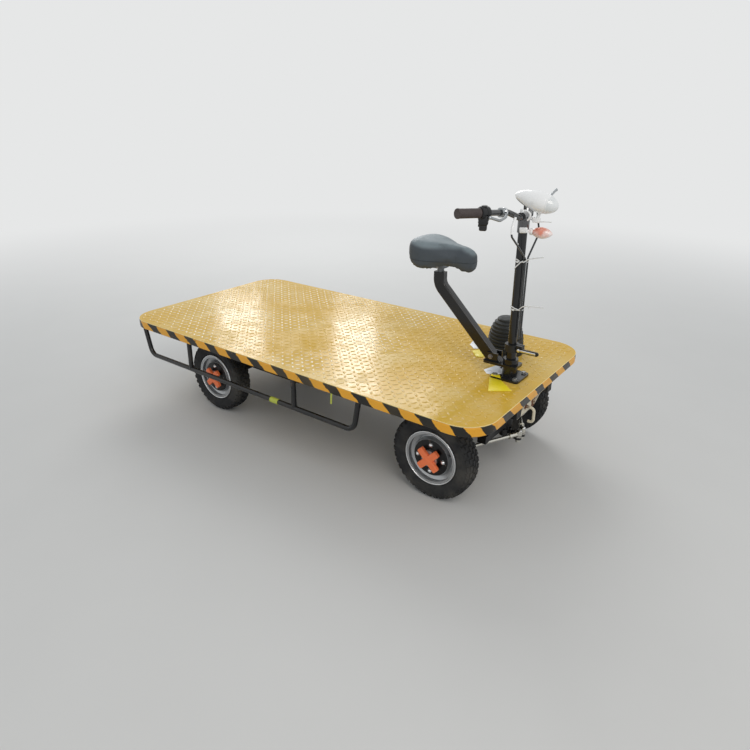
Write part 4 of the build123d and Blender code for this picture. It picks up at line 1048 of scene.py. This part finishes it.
@dataclass(frozen=True)
class Underframe:
    """The frame members, axles, guards, battery box and tow bracket, with their bolts."""

    guard_y: float = 485.0
    guard_tube: float = 11.0
    guard_rail_z: float = 248.0
    rail_face: float = 155.0
    rail_bolts: Route = ((-177, 176), (-465, 176), (409, 196), (700, 196), (868, 226), (868, 300))
    tow_bolts: Route = ((968, 50), (968, 20), (968, -50), (968, -20))
    tow_bolt_z: float = 372.8
    flange_bolts: Route = ((910, -42), (910, 42), (826, -42), (826, 42))
    flange_bolt_z: float = 430.0
    motor_end: Triple = (-232.5, 0.0, 176.0)
    motor_bolt_circle: float = 56.0
    strap_x: tuple[float, float] = (-60.0, 240.0)
    battery_top: float = 205.2
    battery_side: float = 129.8

    def bolts(self) -> None:
        """Sets the bolts that hold the arms, hangers, tow bracket and column flange."""
        places = [facing((x, side * self.rail_face, z), (0, side, 0)) for x, z in self.rail_bolts
                  for side in (-1, 1)]
        places += [facing((x, y, self.tow_bolt_z), (0, 0, -1)) for x, y in self.tow_bolts]
        places += [facing((x, y, self.flange_bolt_z), (0, 0, 1)) for x, y in self.flange_bolts]
        Work().add(hex_bolt(), *places).finish("frame_bolts", Body.CHASSIS, BOLT_STEEL)

    def guard_trim(self) -> None:
        """Wraps the piece of tape round the right guard's rail and hangs the ribbon beside it."""
        layers = ((0.2, -24), (1.4, -23), (1.8, -8), (1.3, 6), (1.7, 22), (0.2, 23))
        sleeve = lathe([(self.guard_tube + thick, along) for thick, along in layers], 32)
        Work().add(sleeve, facing((22, -self.guard_y, self.guard_rail_z), (1, 0, 0))).finish(
            "guard_tape", Body.CHASSIS, TAPE_FILM)
        Work().add(slab(9, 0.9, 52, 0.4), at(353, -498.6, 363) @ turn(4, "Y")).finish(
            "edge_ribbon", Body.CHASSIS, TAPE_FILM)

    def motor_trim(self) -> None:
        """Adds the motor's end bolts and terminal box."""
        places = []
        for degrees in (45, 135, 225, 315):
            around = turn(degrees, "X") @ Vector((0, self.motor_bolt_circle, 0))
            places.append(facing(around + Vector(self.motor_end), (1, 0, 0)))
        Work().add(hex_bolt(6, 5, 1), *places).finish("motor_bolts", Body.CHASSIS, BOLT_STEEL)
        Work().add(slab(70, 64, 30, 4), at(-330, 0, 262)).finish(
            "motor_terminal_box", Body.CHASSIS, BLACK_PLASTIC)

    def battery_trim(self) -> None:
        """Adds the straps over the battery box."""
        straps = Work()
        for x in self.strap_x:
            straps.add(slab(26, 261, 3, 1), at(x, 0, self.battery_top))
            straps.add(slab(26, 3, 118, 1), *(at(x, side * self.battery_side, 264) for side in (-1, 1)))
        straps.finish("battery_straps", Body.CHASSIS, BOLT_STEEL)

    def build(self) -> None:
        """Builds the underframe's pieces and finishes its nodes."""
        FRAME_BLACK.on("cross_members", "chassis_rails", "front_axle", "rear_axle", "axle_arms",
                       "front_crossbar", "knuckle_right", "knuckle_left")
        GUARD_BLACK.on("side_guard_right", "side_guard_left")
        BOX_BLACK.on("battery_box")
        MOTOR_ALLOY.on("drive_motor")
        OLD_RUST.on("tow_bracket")
        self.bolts()
        self.guard_trim()
        self.motor_trim()
        self.battery_trim()


@dataclass(frozen=True)
class Suspension:
    """The four coil springs round their dampers."""

    radius: float = 27.0
    wire_radius: float = 4.3
    turns: float = 7.0
    top: float = 381.0
    seat: float = 6.0
    damper_share: float = 0.62
    ends: tuple[tuple[str, float, float, float], ...] = (
        # end, place along, distance from the middle, height of the seats
        ("front", 739.0, 202.0, 222.5),
        ("rear", -507.0, 245.0, 207.0),
    )

    def build(self) -> None:
        """Builds both axles' springs, dampers and caps."""
        for end, x, y, low in self.ends:
            places = [at(x, side * y, low) for side in (-1, 1)]
            high = self.top - low
            middle = self.radius - self.wire_radius
            spring = coil(middle, self.wire_radius, high - 2 * self.seat, self.turns)
            Work().add(spring, *(place @ at(0, 0, self.seat) for place in places)).finish(
                f"{end}_coils", Body.CHASSIS, SPRING_STEEL, "spring_metal", [f"{end}_springs"])
            body = high * self.damper_share
            damper = lathe([(0, 0), (25, 0), (27, 2), (27, 5), (24, 6.5), (13.5, 7), (13.5, body - 3),
                            (12, body), (7, body + 0.5), (7, body + 2), (5.2, body + 2.5), (5.2, high - 18),
                            (9, high - 16), (10.5, high - 8), (0, high - 8)], 32)
            Work().add(damper, *places).finish(f"{end}_dampers", Body.CHASSIS, BOX_BLACK, "spring_metal")
            cup = lathe([(0, high), (25.5, high), (27, high - 1.5), (27, high - 9), (25, high - 9),
                         (24.5, high - 3), (0, high - 3)], 40)
            Work().add(cup, *places).finish(f"{end}_spring_caps", Body.CHASSIS, LEVER_ALLOY, "spring_metal")


# Wheels


@dataclass(frozen=True)
class Wheels:
    """The four wheels: block tread tyres, silver rims, orange crosses and domed nuts.

    A wheel's shapes are made about the Z axis, their outer face towards +Z.
    """

    radius: float = 176.0
    hub_y: float = 339.0
    front_x: float = 739.0
    rear_x: float = -507.0
    half_section: Route = (
        (102.2, 0), (102.2, 31), (104, 32.7), (113, 32.9), (116, 34.5), (118, 36.6), (121, 37.4),
        (122.5, 36.9), (124, 37.8), (131, 39.4), (140, 40.4), (148, 40.0), (155, 38.8),
        (157, 38.9), (158.5, 38.0), (164, 35.8), (168, 32.0), (170.2, 24.0), (171.0, 12.0), (171.2, 0),
    )
    blocks: int = 38
    block_rows: tuple[tuple[float, float, float, Point, float], ...] = (
        # along the axle, foot radius, tilt, block size, phase
        (7.5, 169.0, 1.5, (21.0, 12.5, 6.6), 0.0),
        (-7.5, 169.0, -1.5, (21.0, 12.5, 6.6), 0.5),
        (24.0, 167.0, 8.0, (20.0, 15.0, 7.4), 0.5),
        (-24.0, 167.0, -8.0, (20.0, 15.0, 7.4), 0.0),
        (34.5, 160.5, 48.0, (17.0, 11.0, 6.4), 0.5),
        (-34.5, 160.5, -48.0, (17.0, 11.0, 6.4), 0.0),
    )
    cross_reach: float = 54.0
    cross_arm: float = 27.0
    cross_thick: float = 14.0
    nose_face: float = 44.0
    dish_face: float = 30.0
    nut_pitch: float = 56.0

    def block(self, length: float, width: float, height: float) -> BMesh:
        """Makes one tread block, its foot at the origin, narrower at the top.

        Args:
            length: Its size round the tyre.
            width: Its size along the axle.
            height: Its height.

        Returns:
            The block.
        """
        shape = cuboid(height, length, width, height / 2, 0, 0)
        top = [v for v in shape.verts if v.co.x > height / 2]
        bmesh.ops.scale(shape, vec=(1, 0.86, 0.86), verts=top)
        return rounded(shape, [e for e in shape.edges if all(v in top for v in e.verts)], 0.8, 1)

    def tyre(self) -> BMesh:
        """Turns the tyre's body and puts the tread blocks on it.

        Returns:
            The tyre.
        """
        mirrored = [(radius, -along) for radius, along in reversed(self.half_section[1:-1])]
        whole = Work().add(lathe([*self.half_section, *mirrored], 96, closed=True))
        for along, foot, tilt, size, phase in self.block_rows:
            stand = at(foot, 0, along) @ turn(-tilt, "Y")
            angles = [360 * (number + phase) / self.blocks for number in range(self.blocks)]
            whole.add(self.block(*size), *(turn(angle, "Z") @ stand for angle in angles))
        return whole.mesh

    def cross(self) -> BMesh:
        """Pulls four arms out of a block and rounds them.

        Returns:
            The cross, its foot at the origin.
        """
        shape = cuboid(self.cross_arm, self.cross_arm, self.cross_thick, 0, 0, self.cross_thick / 2)
        shape.normal_update()
        sides = [f for f in shape.faces if abs(f.normal.z) < 0.5]
        for face in bmesh.ops.extrude_discrete_faces(shape, faces=sides)["faces"]:
            reach = self.cross_reach - self.cross_arm / 2
            bmesh.ops.translate(shape, vec=face.normal * reach, verts=face.verts)
        rounded(shape, [e for e in shape.edges if abs(e.verts[0].co.z - e.verts[1].co.z) > 1
                        and max(abs(e.verts[0].co.x), abs(e.verts[0].co.y)) > self.cross_arm], 6.0, 4)
        high = self.cross_thick - 0.1
        rounded(shape, [e for e in shape.edges if all(v.co.z > high for v in e.verts)
                        and e.calc_face_angle(0) > 1], 2.6, 3)
        bmesh.ops.recalc_face_normals(shape, faces=shape.faces)
        return shape

    def nut(self) -> BMesh:
        """Makes one domed wheel nut."""
        dome = lathe([(0, 11.6), (3.0, 11.2), (5.6, 9.9), (7.5, 7.8), (8.3, 5.2), (8.4, 4.0), (0, 4.0)], 24)
        return Work().add(rod(9.6, 5.0, edge=0.6, sides=6)).add(dome).mesh

    def build_wheel(self, tag: str, x: float, side: int) -> None:
        """Builds one wheel.

        Args:
            tag: The wheel's end and hand, joined by an underscore.
            x: The place of its axle.
            side: -1 for the right side and 1 for the left.
        """
        body = f"wheel_{tag}"
        hub = facing((x, side * self.hub_y, self.radius), (0, side, 0))
        RIM_SILVER.on(f"rim_{tag}")
        Work().add(self.tyre(), hub).finish(
            f"road_tyre_{tag}", body, TYRE_BLACK, "tyre_rubber", [f"tyre_{tag}"])
        lip = Work().add(hoop(109.6, 2.3, 96), hub @ at(0, 0, 36.6), hub @ at(0, 0, -36.6))
        lip.add(hoop(83.5, 1.6, 96), hub @ at(0, 0, 11.2))
        lip.finish(f"rim_lip_{tag}", body, CHROME, "rim_silver")
        nave = lathe([(34.2, 29.8), (34.2, 31.4), (35.0, 32.2), (72.5, 32.2), (74.4, 31.2), (75.4, 29.4),
                      (74, 28.6), (36, 28.6)], 72, closed=True)
        Work().add(nave, hub).finish(f"nave_cover_{tag}", body, NAVE_BLACK)
        cross = Work().add(self.cross(), hub @ turn(45, "Z") @ at(0, 0, self.nose_face))
        cross.add(lathe([(0, 59.4), (9, 59.2), (11.5, 58.4), (12, 57.5), (0, 57.5)], 32), hub)
        cross.finish(f"cross_cap_{tag}", body, CROSS_ORANGE, "hub_orange", [f"hub_cross_{tag}"])
        seat = at(self.nut_pitch, 0, self.dish_face)
        Work().add(self.nut(), *(hub @ turn(angle, "Z") @ seat for angle in (0, 90, 180, 270))).finish(
            f"wheel_nuts_{tag}", body, CHROME)
        stem = hub @ turn(22, "Z") @ facing((91, 0, 12), (-0.35, 0, 1))
        Work().add(rod(3.6, 17, edge=1.0, sides=14), stem).finish(f"valve_{tag}", body, BLACK_PLASTIC)

    def build(self) -> None:
        """Builds all four wheels."""
        for side, hand in SIDES:
            self.build_wheel(f"front_{hand}", self.front_x, side)
            self.build_wheel(f"rear_{hand}", self.rear_x, side)


# Steering


@dataclass(frozen=True)
class SteeringGear:
    """The head, shaft, column, clamp and tie rods with their small parts."""

    column_x: float = 868.0
    column_reach: float = 18.6
    cable_reach: float = 11.5
    tie_heights: tuple[float, float] = (893.0, 706.0)
    tails: tuple[Route, ...] = (
        ((856, -21, 866), (878, -21, 892), (888, -20, 899)),
        ((861, -21, 903), (874, -21, 897)),
        ((890, -20, 894), (909, -19, 909), (930, -18, 915), (966, -18, 924)),
        ((853, -20, 720), (872, -21, 713), (888, -20, 710), (902, -19, 724), (915, -19, 730),
         (985, -18, 737)),
    )
    sleeve_route: Route = (
        (875.6, -93.5, 1066), (877.3, -112, 1046.5), (878.2, -119, 1034), (879, -121, 1022),
        (879.7, -122.6, 1012),
    )
    clamp_z: float = 547.0
    rod_z: float = 178.0
    rod_ends: Route = ((809, 268), (938, 18))

    def rod_trim(self) -> None:
        """Puts rubber boots and grease caps on the ball joints."""
        for side, hand in SIDES:
            body = f"tie_rod_{hand}"
            places = [at(x, side * y, self.rod_z) for x, y in self.rod_ends]
            boot = lathe([(8, -0.4), (12.5, -0.2), (14.2, 1.6), (13.2, 3.6), (14.6, 5.2), (14.3, 7.0),
                          (12, 7.8)], 28, closed=True)
            Work().add(boot, *places).finish(f"ball_boots_{hand}", body, GRIP_RUBBER)
            cap = lathe([(0, 29.6), (5, 29.2), (9.5, 27.6), (12.5, 25.2), (12.5, 24), (0, 24)], 28)
            Work().add(cap, *places).finish(f"ball_caps_{hand}", body, CHROME)

    def ties(self) -> None:
        """Straps the cables to the column with white ties whose tails stand off."""
        work = Work()
        for tail in self.tails:
            work.add(wire(tail, 2.1, smooth=False))
        for height in self.tie_heights:
            route = []
            for step in range(28):
                angle = FULL_TURN * step / 28
                reach = self.column_reach + self.cable_reach * max(0.0, math.cos(angle)) ** 4
                route.append((self.column_x + reach * math.cos(angle), reach * math.sin(angle), height))
            work.add(wire(route + route[:1], 1.6, smooth=False))
            work.add(slab(8, 5.5, 7, 1), at(866, -20.5, height))
        work.add(slab(6, 4, 9, 1.4), at(861, -19.0, 957))
        work.add(lathe([(0, -4), (3.4, -3), (4.2, 0), (3.4, 3), (0, 4)], 20), at(929, -19, 727))
        work.finish("cable_ties", Body.STEERING, TIE_PLASTIC)

    def clamp_trim(self) -> None:
        """Adds the quick-release's bright lever face, nut and washer."""
        lever = Work().add(slab(62, 1.6, 8.5, 0.7), at(943, -21.6, self.clamp_z))
        lever.add(hex_bolt(7.5, 6, 1.2), facing((905, 14, self.clamp_z), (0, 1, 0)))
        lever.add(rod(6.5, 4, 1.0), facing((905, -21, self.clamp_z), (0, -1, 0)))
        lever.finish("clamp_lever_face", Body.STEERING, CHROME)

    def build(self) -> None:
        """Builds the steering's pieces and finishes its nodes."""
        COLUMN_BLACK.on("steering_head", "steering_shaft", "upper_column")
        BLACK_PLASTIC.on("column_clamp")
        PLATED.on("tie_rod_right", "tie_rod_left")
        CABLE_GREY.on("control_cables")
        self.rod_trim()
        self.ties()
        Work().add(wire(self.sleeve_route, 5.0)).finish("cable_sleeve_right", Body.STEERING, WHITE_PLASTIC)
        self.clamp_trim()


# Seat


@dataclass(frozen=True)
class Saddle:
    """The padded saddle, its piping and base pan, and the seat's bolts."""

    sections: tuple[tuple[float, float, float, float, float], ...] = (
        # along X, half width, low, high, squareness
        (411.0, 52.0, 858.0, 917.0, 2.8),
        (420.0, 76.0, 838.0, 927.0, 3.2),
        (438.0, 93.0, 820.0, 933.0, 3.8),
        (462.0, 102.0, 808.0, 935.0, 4.0),
        (486.0, 104.0, 805.0, 933.0, 4.0),
        (516.0, 97.0, 811.0, 929.0, 3.8),
        (552.0, 81.0, 824.0, 922.0, 3.6),
        (590.0, 59.0, 829.0, 916.0, 3.2),
        (618.0, 45.0, 823.0, 912.0, 3.0),
        (645.0, 37.0, 812.0, 909.0, 3.0),
        (668.0, 32.0, 812.0, 902.0, 2.8),
        (683.0, 23.0, 826.0, 889.0, 2.6),
    )
    skirt: float = 10.0
    fold: float = 2.0
    ceiling: float = 851.0
    voxel: float = 5.0
    cap: float = 5.0
    pressure: float = 4.0
    frames: int = 20
    seam_height: float = 858.0
    seam_radius: float = 1.3

    def ring(self, shape: BMesh, section: Point) -> list[BMEdge]:
        """Adds one rounded cross-section.

        Args:
            shape: The mesh it is added to.
            section: Its place, half width, low, high and squareness.

        Returns:
            Its edges.
        """
        x, half, low, high, square = section
        made = bmesh.ops.create_circle(shape, cap_ends=False, segments=36, radius=1.0)["verts"]
        for vert in made:
            reach = (abs(vert.co.x) ** square + abs(vert.co.y) ** square) ** (-1 / square)
            across, up = vert.co.x * reach, vert.co.y * reach
            vert.co = (x, across * half, (low + high) / 2 + up * (high - low) / 2)
        return list({edge for vert in made for edge in vert.link_edges})

    def shell(self) -> BMesh:
        """Lofts the sections into a closed shape and pushes its underside up between the skirts.

        Returns:
            The shape.
        """
        shape = bmesh.new()
        rings = [self.ring(shape, section) for section in self.sections]
        for first, second in zip(rings, rings[1:]):
            bmesh.ops.bridge_loops(shape, edges=first + second)
        bmesh.ops.holes_fill(shape, edges=shape.edges, sides=0)
        bmesh.ops.recalc_face_normals(shape, faces=shape.faces)
        first, last = self.sections[1][0], self.sections[-2][0]
        under = [face for face in shape.faces
                 if face.normal.z < -0.6 and first < face.calc_center_median().x < last]
        for wall in (self.skirt, self.fold):
            bmesh.ops.inset_region(shape, faces=under, thickness=wall, use_even_offset=True)
        for vert in {vert for face in under for vert in face.verts}:
            vert.co.z = self.ceiling
        return shape

    def padded(self) -> bpy.types.Object:
        """Returns:
            The cushion.
        """
        cushion = Work().add(self.shell()).finish(
            "saddle_cushion", Body.CHASSIS, SADDLE_VINYL, "saddle_cover", ["saddle"], sharp=180.0)
        cushion.data = self.remeshed(cushion)
        cushion.data.shade_smooth()
        self.puff(cushion)
        finer = cushion.modifiers.new("finer", "SUBSURF")
        finer.levels = finer.render_levels = 1
        return cushion

    def remeshed(self, cushion: bpy.types.Object) -> bpy.types.Mesh:
        """Remakes the cushion's mesh in even voxels.

        Args:
            cushion: The cushion as it was lofted.

        Returns:
            The new mesh.
        """
        voxels = cushion.modifiers.new("voxels", "REMESH")
        voxels.mode = "VOXEL"
        voxels.voxel_size = self.voxel * MM
        even = bpy.data.meshes.new_from_object(cushion.evaluated_get(bpy.context.evaluated_depsgraph_get()))
        cushion.modifiers.remove(voxels)
        return even

    def puff(self, cushion: bpy.types.Object) -> None:
        """Runs the cloth simulation and keeps each point within the cap of its start.

        Args:
            cushion: The remeshed cushion.
        """
        start = [vert.co.copy() for vert in cushion.data.vertices]
        cloth = cushion.modifiers.new("cloth", "CLOTH")
        settings = cloth.settings
        settings.use_pressure = True
        settings.uniform_pressure_force = self.pressure
        settings.effector_weights.gravity = 0.0
        settings.quality = 5
        settings.mass = 0.3
        scene = bpy.context.scene
        for number in range(1, self.frames + 1):
            scene.frame_set(number)
        result = cushion.evaluated_get(bpy.context.evaluated_depsgraph_get()).data
        moves = [vert.co - before for vert, before in zip(result.vertices, start)]
        cushion.modifiers.remove(cloth)
        scene.frame_set(1)
        limit = self.cap * MM
        for vert, before, move in zip(cushion.data.vertices, start, moves):
            far = move.length
            vert.co = before + move * (min(far, limit) / far if far else 1.0)

    def piping(self, cushion: bpy.types.Object) -> None:
        """Runs the sewn piping round the cushion where its side meets the base.

        Args:
            cushion: The finished cushion.
        """
        cut = bmesh.new()
        cut.from_mesh(cushion.data)
        level = (0, 0, self.seam_height * MM)
        geom = cut.verts[:] + cut.edges[:] + cut.faces[:]
        sliced = bmesh.ops.bisect_plane(cut, geom=geom, plane_co=level, plane_no=(0, 0, 1))["geom_cut"]
        verts = [v for v in sliced if isinstance(v, BMVert)]
        middle = sum((v.co for v in verts), Vector()) / len(verts)
        ordered = sorted(verts, key=lambda v: math.atan2(v.co.y - middle.y, v.co.x - middle.x))
        route = [tuple(v.co / MM) for v in ordered[::3]]
        cut.free()
        Work().add(wire(route + route[:1], self.seam_radius, smooth=False)).finish(
            "saddle_piping", Body.CHASSIS, PIPING_VINYL, sharp=180.0)

    def pan(self) -> None:
        """Makes the hard pan under the cushion's ceiling, which the rails hang from."""
        work = Work().add(slab(150, 76, 4, 1.5), at(528, 0, self.ceiling - 2.5))
        work.add(slab(156, 5, 9, 1.5), *(at(528, y, self.ceiling - 6) for y in (-33, 33)))
        work.add(slab(12, 56, 8, 1.5), *(at(x, 0, self.ceiling - 6) for x in (454, 602)))
        work.finish("saddle_pan", Body.CHASSIS, BLACK_PLASTIC, "black_plastic")

    def fittings(self) -> None:
        """Adds the bolts of the seat bracket and of the saddle clamp."""
        work = Work()
        for side in (-1, 1):
            work.add(hex_bolt(8, 6, 1.4), facing((790, side * 24.3, 495), (0, side, 0)))
            work.add(hex_bolt(6.5, 5, 1.2), facing((528, side * 26, 825), (0, side, 0)))
        work.finish("seat_bolts", Body.CHASSIS, BOLT_STEEL)

    def build(self) -> None:
        """Builds the seat's pieces and finishes its nodes."""
        COLUMN_BLACK.on("seat_bracket", "seat_post")
        CLAMP_STEEL.on("saddle_clamp")
        self.piping(self.padded())
        self.pan()
        self.fittings()


# Handlebar and lamps


@dataclass(frozen=True)
class Handlebar:
    """The bar's grips and switch blocks, and the levers' pivots."""

    knee: Triple = (846.0, 95.0, 1082.0)
    tip: Triple = (758.0, 300.0, 1094.0)
    grip_length: float = 98.0
    grip_end: float = 4.0
    rib_pitch: float = 5.4
    switch_middle: float = 114.5
    switch_half: float = 18.5
    switch_radius: float = 22.5
    switch_yaw: float = 66.8
    perch_middle: float = 198.0

    def axis(self, side: int, back: float) -> Matrix:
        """Returns the place on one side of the bar that far from its tip.

        Args:
            side: -1 for the right side and 1 for the left.
            back: The distance back from the bar's tip.

        Returns:
            The place, with Z pointing outward along the bar, X forward and Y up or down.
        """
        mirror = Vector((1, side, 1))
        tip = Vector(self.tip) * mirror
        out = (tip - Vector(self.knee) * mirror).normalized()
        forward = (Vector((1, 0, 0)) - out * out.x).normalized()
        turned = Matrix((forward, out.cross(forward), out)).transposed().to_4x4()
        return Matrix.Translation(tip - out * back) @ turned

    def grip(self) -> BMesh:
        """Turns a ribbed grip whose outer end is its far end from the origin.

        Returns:
            The grip.
        """
        points = [(11.6, 0), (17.4, 0), (17.9, 1.2), (17.9, 4.4), (17.0, 5.6)]
        z, end = 8.0, self.grip_length
        while z < end - 14:
            points += [(16.2, z), (16.9, z + 1.2), (16.9, z + 3.0), (16.2, z + 4.2)]
            z += self.rib_pitch
        points += [(16.4, end - 9), (17.9, end - 7.4), (17.9, end - 2.4), (15.8, end - 0.4)]
        return lathe([*points, (6, end), (0, end)], 40)

    def switch(self, side: int, hand: str) -> None:
        """Builds one switch block: a collar on the bar, a rounded foot, a button and screws.

        Args:
            side: -1 for the right side and 1 for the left.
            hand: right or left.
        """
        middle = self.axis(side, self.switch_middle)
        half, radius = self.switch_half, self.switch_radius
        lower = [(11.2, -half), (radius - 4, -half), (radius, -half + 3), (radius, -1.0), (radius - 1, -0.4)]
        collar = lower + [(across, -along) for across, along in reversed(lower)]
        level = Matrix.Translation(middle.translation) @ turn(side * self.switch_yaw, "Z")
        block = Work().add(lathe(collar, 48, closed=True), middle)
        block.add(slab(36, 33, 34, 5.0, 4), level @ at(0, 0, -24))
        block.add(slab(29, 27, 24, 6.0, 4), level @ at(0, 0, -49))
        block.add(slab(24, 20, 8, 2.5, 3), level @ at(0, 0, 21.5))
        block.add(slab(14, 3, 11, 1.2), level @ at(0, -17, -20), level @ at(0, 17, -20))
        block.add(rod(4.5, 4, 1.0, 20), level @ at(0, -13.5, -44) @ turn(90, "X"))
        block.finish(
            f"switch_block_{hand}", Body.STEERING, BLACK_PLASTIC, "black_plastic", ["switch_housings"])
        places = [level @ at(12, face * 16.4, height) @ turn(-face * 90, "X")
                  for height in (-30, -14) for face in (-1, 1)]
        Work().add(rod(2.4, 1.6, 0.4, 14), *places).finish(
            f"switch_screws_{hand}", Body.STEERING, BOLT_STEEL)

    def build(self) -> None:
        """Builds the handlebar's pieces and finishes its nodes."""
        BAR_BLACK.on("handlebar")
        LEVER_ALLOY.on("brake_levers")
        for side, hand in SIDES:
            Work().add(self.grip(), self.axis(side, self.grip_length - self.grip_end)).finish(
                f"grip_rubber_{hand}", Body.STEERING, GRIP_RUBBER, "grip_rubber", ["grips"])
            self.switch(side, hand)
            perch = self.axis(side, self.perch_middle)
            pivot = Work().add(hex_bolt(5.5, 4, 1), at(*(perch @ Vector((17, 0, 0)))) @ at(0, 0, 4.8))
            pivot.add(lathe([(17.1, -9), (18.0, -8.2), (18.0, -5.8), (17.1, -5)], 36, closed=True), perch)
            pivot.finish(f"lever_pivot_{hand}", Body.STEERING, CHROME)


@dataclass(frozen=True)
class Lamps:
    """The headlamp on its stalk and the amber lamp below it."""

    rear: Triple = (826.0, 0.0, 1134.0)
    tilt: float = 11.5
    length: float = 168.0
    widest: float = 93.0
    radius: float = 38.0
    tail_power: float = 1.4
    nose_power: float = 2.1
    bezel_at: float = 132.0
    cut_rise: float = -5.0
    cut_slope: float = -0.31
    bucket_share: float = 0.93
    elbow: Triple = (890.0, 0.0, 1054.3)
    corner: Triple = (916.0, 0.0, 1050.0)
    stalk_top: Triple = (930.0, 0.0, 1090.0)
    stalk: float = 5.9
    lead_route: Route = ((922, -2, 1043), (935, -6, 1047), (955, -8, 1049), (974, -4, 1049))
    hook_route: Route = (
        (877, -31, 1083), (886, -34, 1086), (903, -32, 1078), (904, -30, 1062), (893, -27, 1050),
    )

    def reach(self, along: float) -> float:
        """Works out the shell's radius.

        Args:
            along: The distance from its rear tip.

        Returns:
            The radius there.
        """
        if along < self.widest:
            share = (1 - along / self.widest) ** self.tail_power
        else:
            share = ((along - self.widest) / (self.length - self.widest)) ** self.nose_power
        return self.radius * math.sqrt(max(0.0, 1 - share))

    def part(self, start: float, end: float, steps: int = 26) -> BMesh:
        """Turns one stretch of the egg about the Z axis, closed at both ends.

        Args:
            start: Where it starts, from the rear tip.
            end: Where it ends.
            steps: The points along it.

        Returns:
            The stretch.
        """
        shares = [(1 - math.cos(math.pi * step / steps)) / 2 for step in range(steps + 1)]
        places = [start + (end - start) * share for share in shares]
        return lathe([(0.0, start), *((self.reach(z), z) for z in places), (0.0, end)], 72)

    def half(self, outer: bool) -> BMesh:
        """Cuts the shell, about the Z axis with X downward, along a slanting plane.

        Args:
            outer: Whether the lower part is cut away, or else the upper one.

        Returns:
            The pale hood, or else the dark bucket.
        """
        shape = self.part(0.0, self.bezel_at)
        cut = bmesh.ops.bisect_plane(
            shape, geom=shape.verts[:] + shape.edges[:] + shape.faces[:],
            plane_co=(-self.cut_rise, 0, 0), plane_no=(1, 0, self.cut_slope),
            clear_outer=outer, clear_inner=not outer)["geom_cut"]
        bmesh.ops.holes_fill(shape, edges=[e for e in cut if isinstance(e, BMEdge)], sides=0)
        return shape

    def headlamp(self) -> None:
        """Builds the shell, its bezel, lens, stalk, block and the wire below it."""
        axis = at(*self.rear) @ turn(90 + self.tilt, "Y")
        white = Work().add(self.half(True), axis)
        white.add(wire((self.elbow, (904, 0, 1052), self.corner), self.stalk, smooth=False))
        white.add(slab(25.6, 19.6, 17.6, 3.0, 3), at(*self.corner))
        white.add(wire((self.corner, self.stalk_top), self.stalk, smooth=False))
        white.finish("headlamp_hood", Body.STEERING, WHITE_PLASTIC, "white_plastic", ["headlamp"])
        narrowed = Matrix.Diagonal((self.bucket_share, self.bucket_share, 1, 1))
        Work().add(self.half(False), axis @ narrowed).finish(
            "headlamp_bucket", Body.STEERING, BLACK_PLASTIC)
        Work().add(self.part(self.bezel_at + 1, self.length - 0.5), axis).finish(
            "headlamp_lens", Body.STEERING, LAMP_GLASS)
        rim = self.reach(self.bezel_at)
        bezel = lathe([(rim - 3, -2.5), (rim + 0.6, -2.5), (rim + 1.2, -1), (rim + 0.4, 3), (rim - 3, 3)],
                      72, closed=True)
        Work().add(bezel, axis @ at(0, 0, self.bezel_at)).finish(
            "headlamp_bezel", Body.STEERING, WHITE_PLASTIC)
        Work().add(wire(self.lead_route, 1.7)).finish("lamp_lead", Body.STEERING, TIE_PLASTIC)

    def clip(self) -> None:
        """Bends the pale hook beside the stem and sets the amber lamp's pale mount."""
        hook = Work().add(wire(self.hook_route, 3.6))
        hook.add(rod(7.5, 7, 1.6), facing((874, -33, 1083), (-0.3, -1, 0)))
        hook.finish("stem_hook", Body.STEERING, WHITE_PLASTIC)
        mount = Work().add(slab(31, 9, 21, 4.0, 3), at(881, -25.5, 1013) @ turn(-6, "Y"))
        mount.add(lathe([(0, 0), (9, 0), (12, 2), (12.5, 9), (10, 15), (0, 15)], 36),
                  facing((890.5, 12, 1004), (1, 0, 0)))
        mount.add(slab(8, 40, 12, 2.0), at(896, -8, 1010))
        mount.finish("amber_mount", Body.STEERING, WHITE_PLASTIC)

    def build(self) -> None:
        """Builds the lamps' pieces and finishes their nodes."""
        AMBER.on("turn_lamp")
        self.headlamp()
        self.clip()


def main() -> None:
    """Builds the stage and then the cart, from the deck up."""
    logging.basicConfig(level=logging.INFO, format="%(message)s")
    Studio().build()
    for assembly in (Deck(), Underframe(), Suspension(), Wheels(), SteeringGear(), Saddle(),
                     Handlebar(), Lamps()):
        log.info("building %s", type(assembly).__name__)
        assembly.build()


if __name__ == "__main__":
    main()
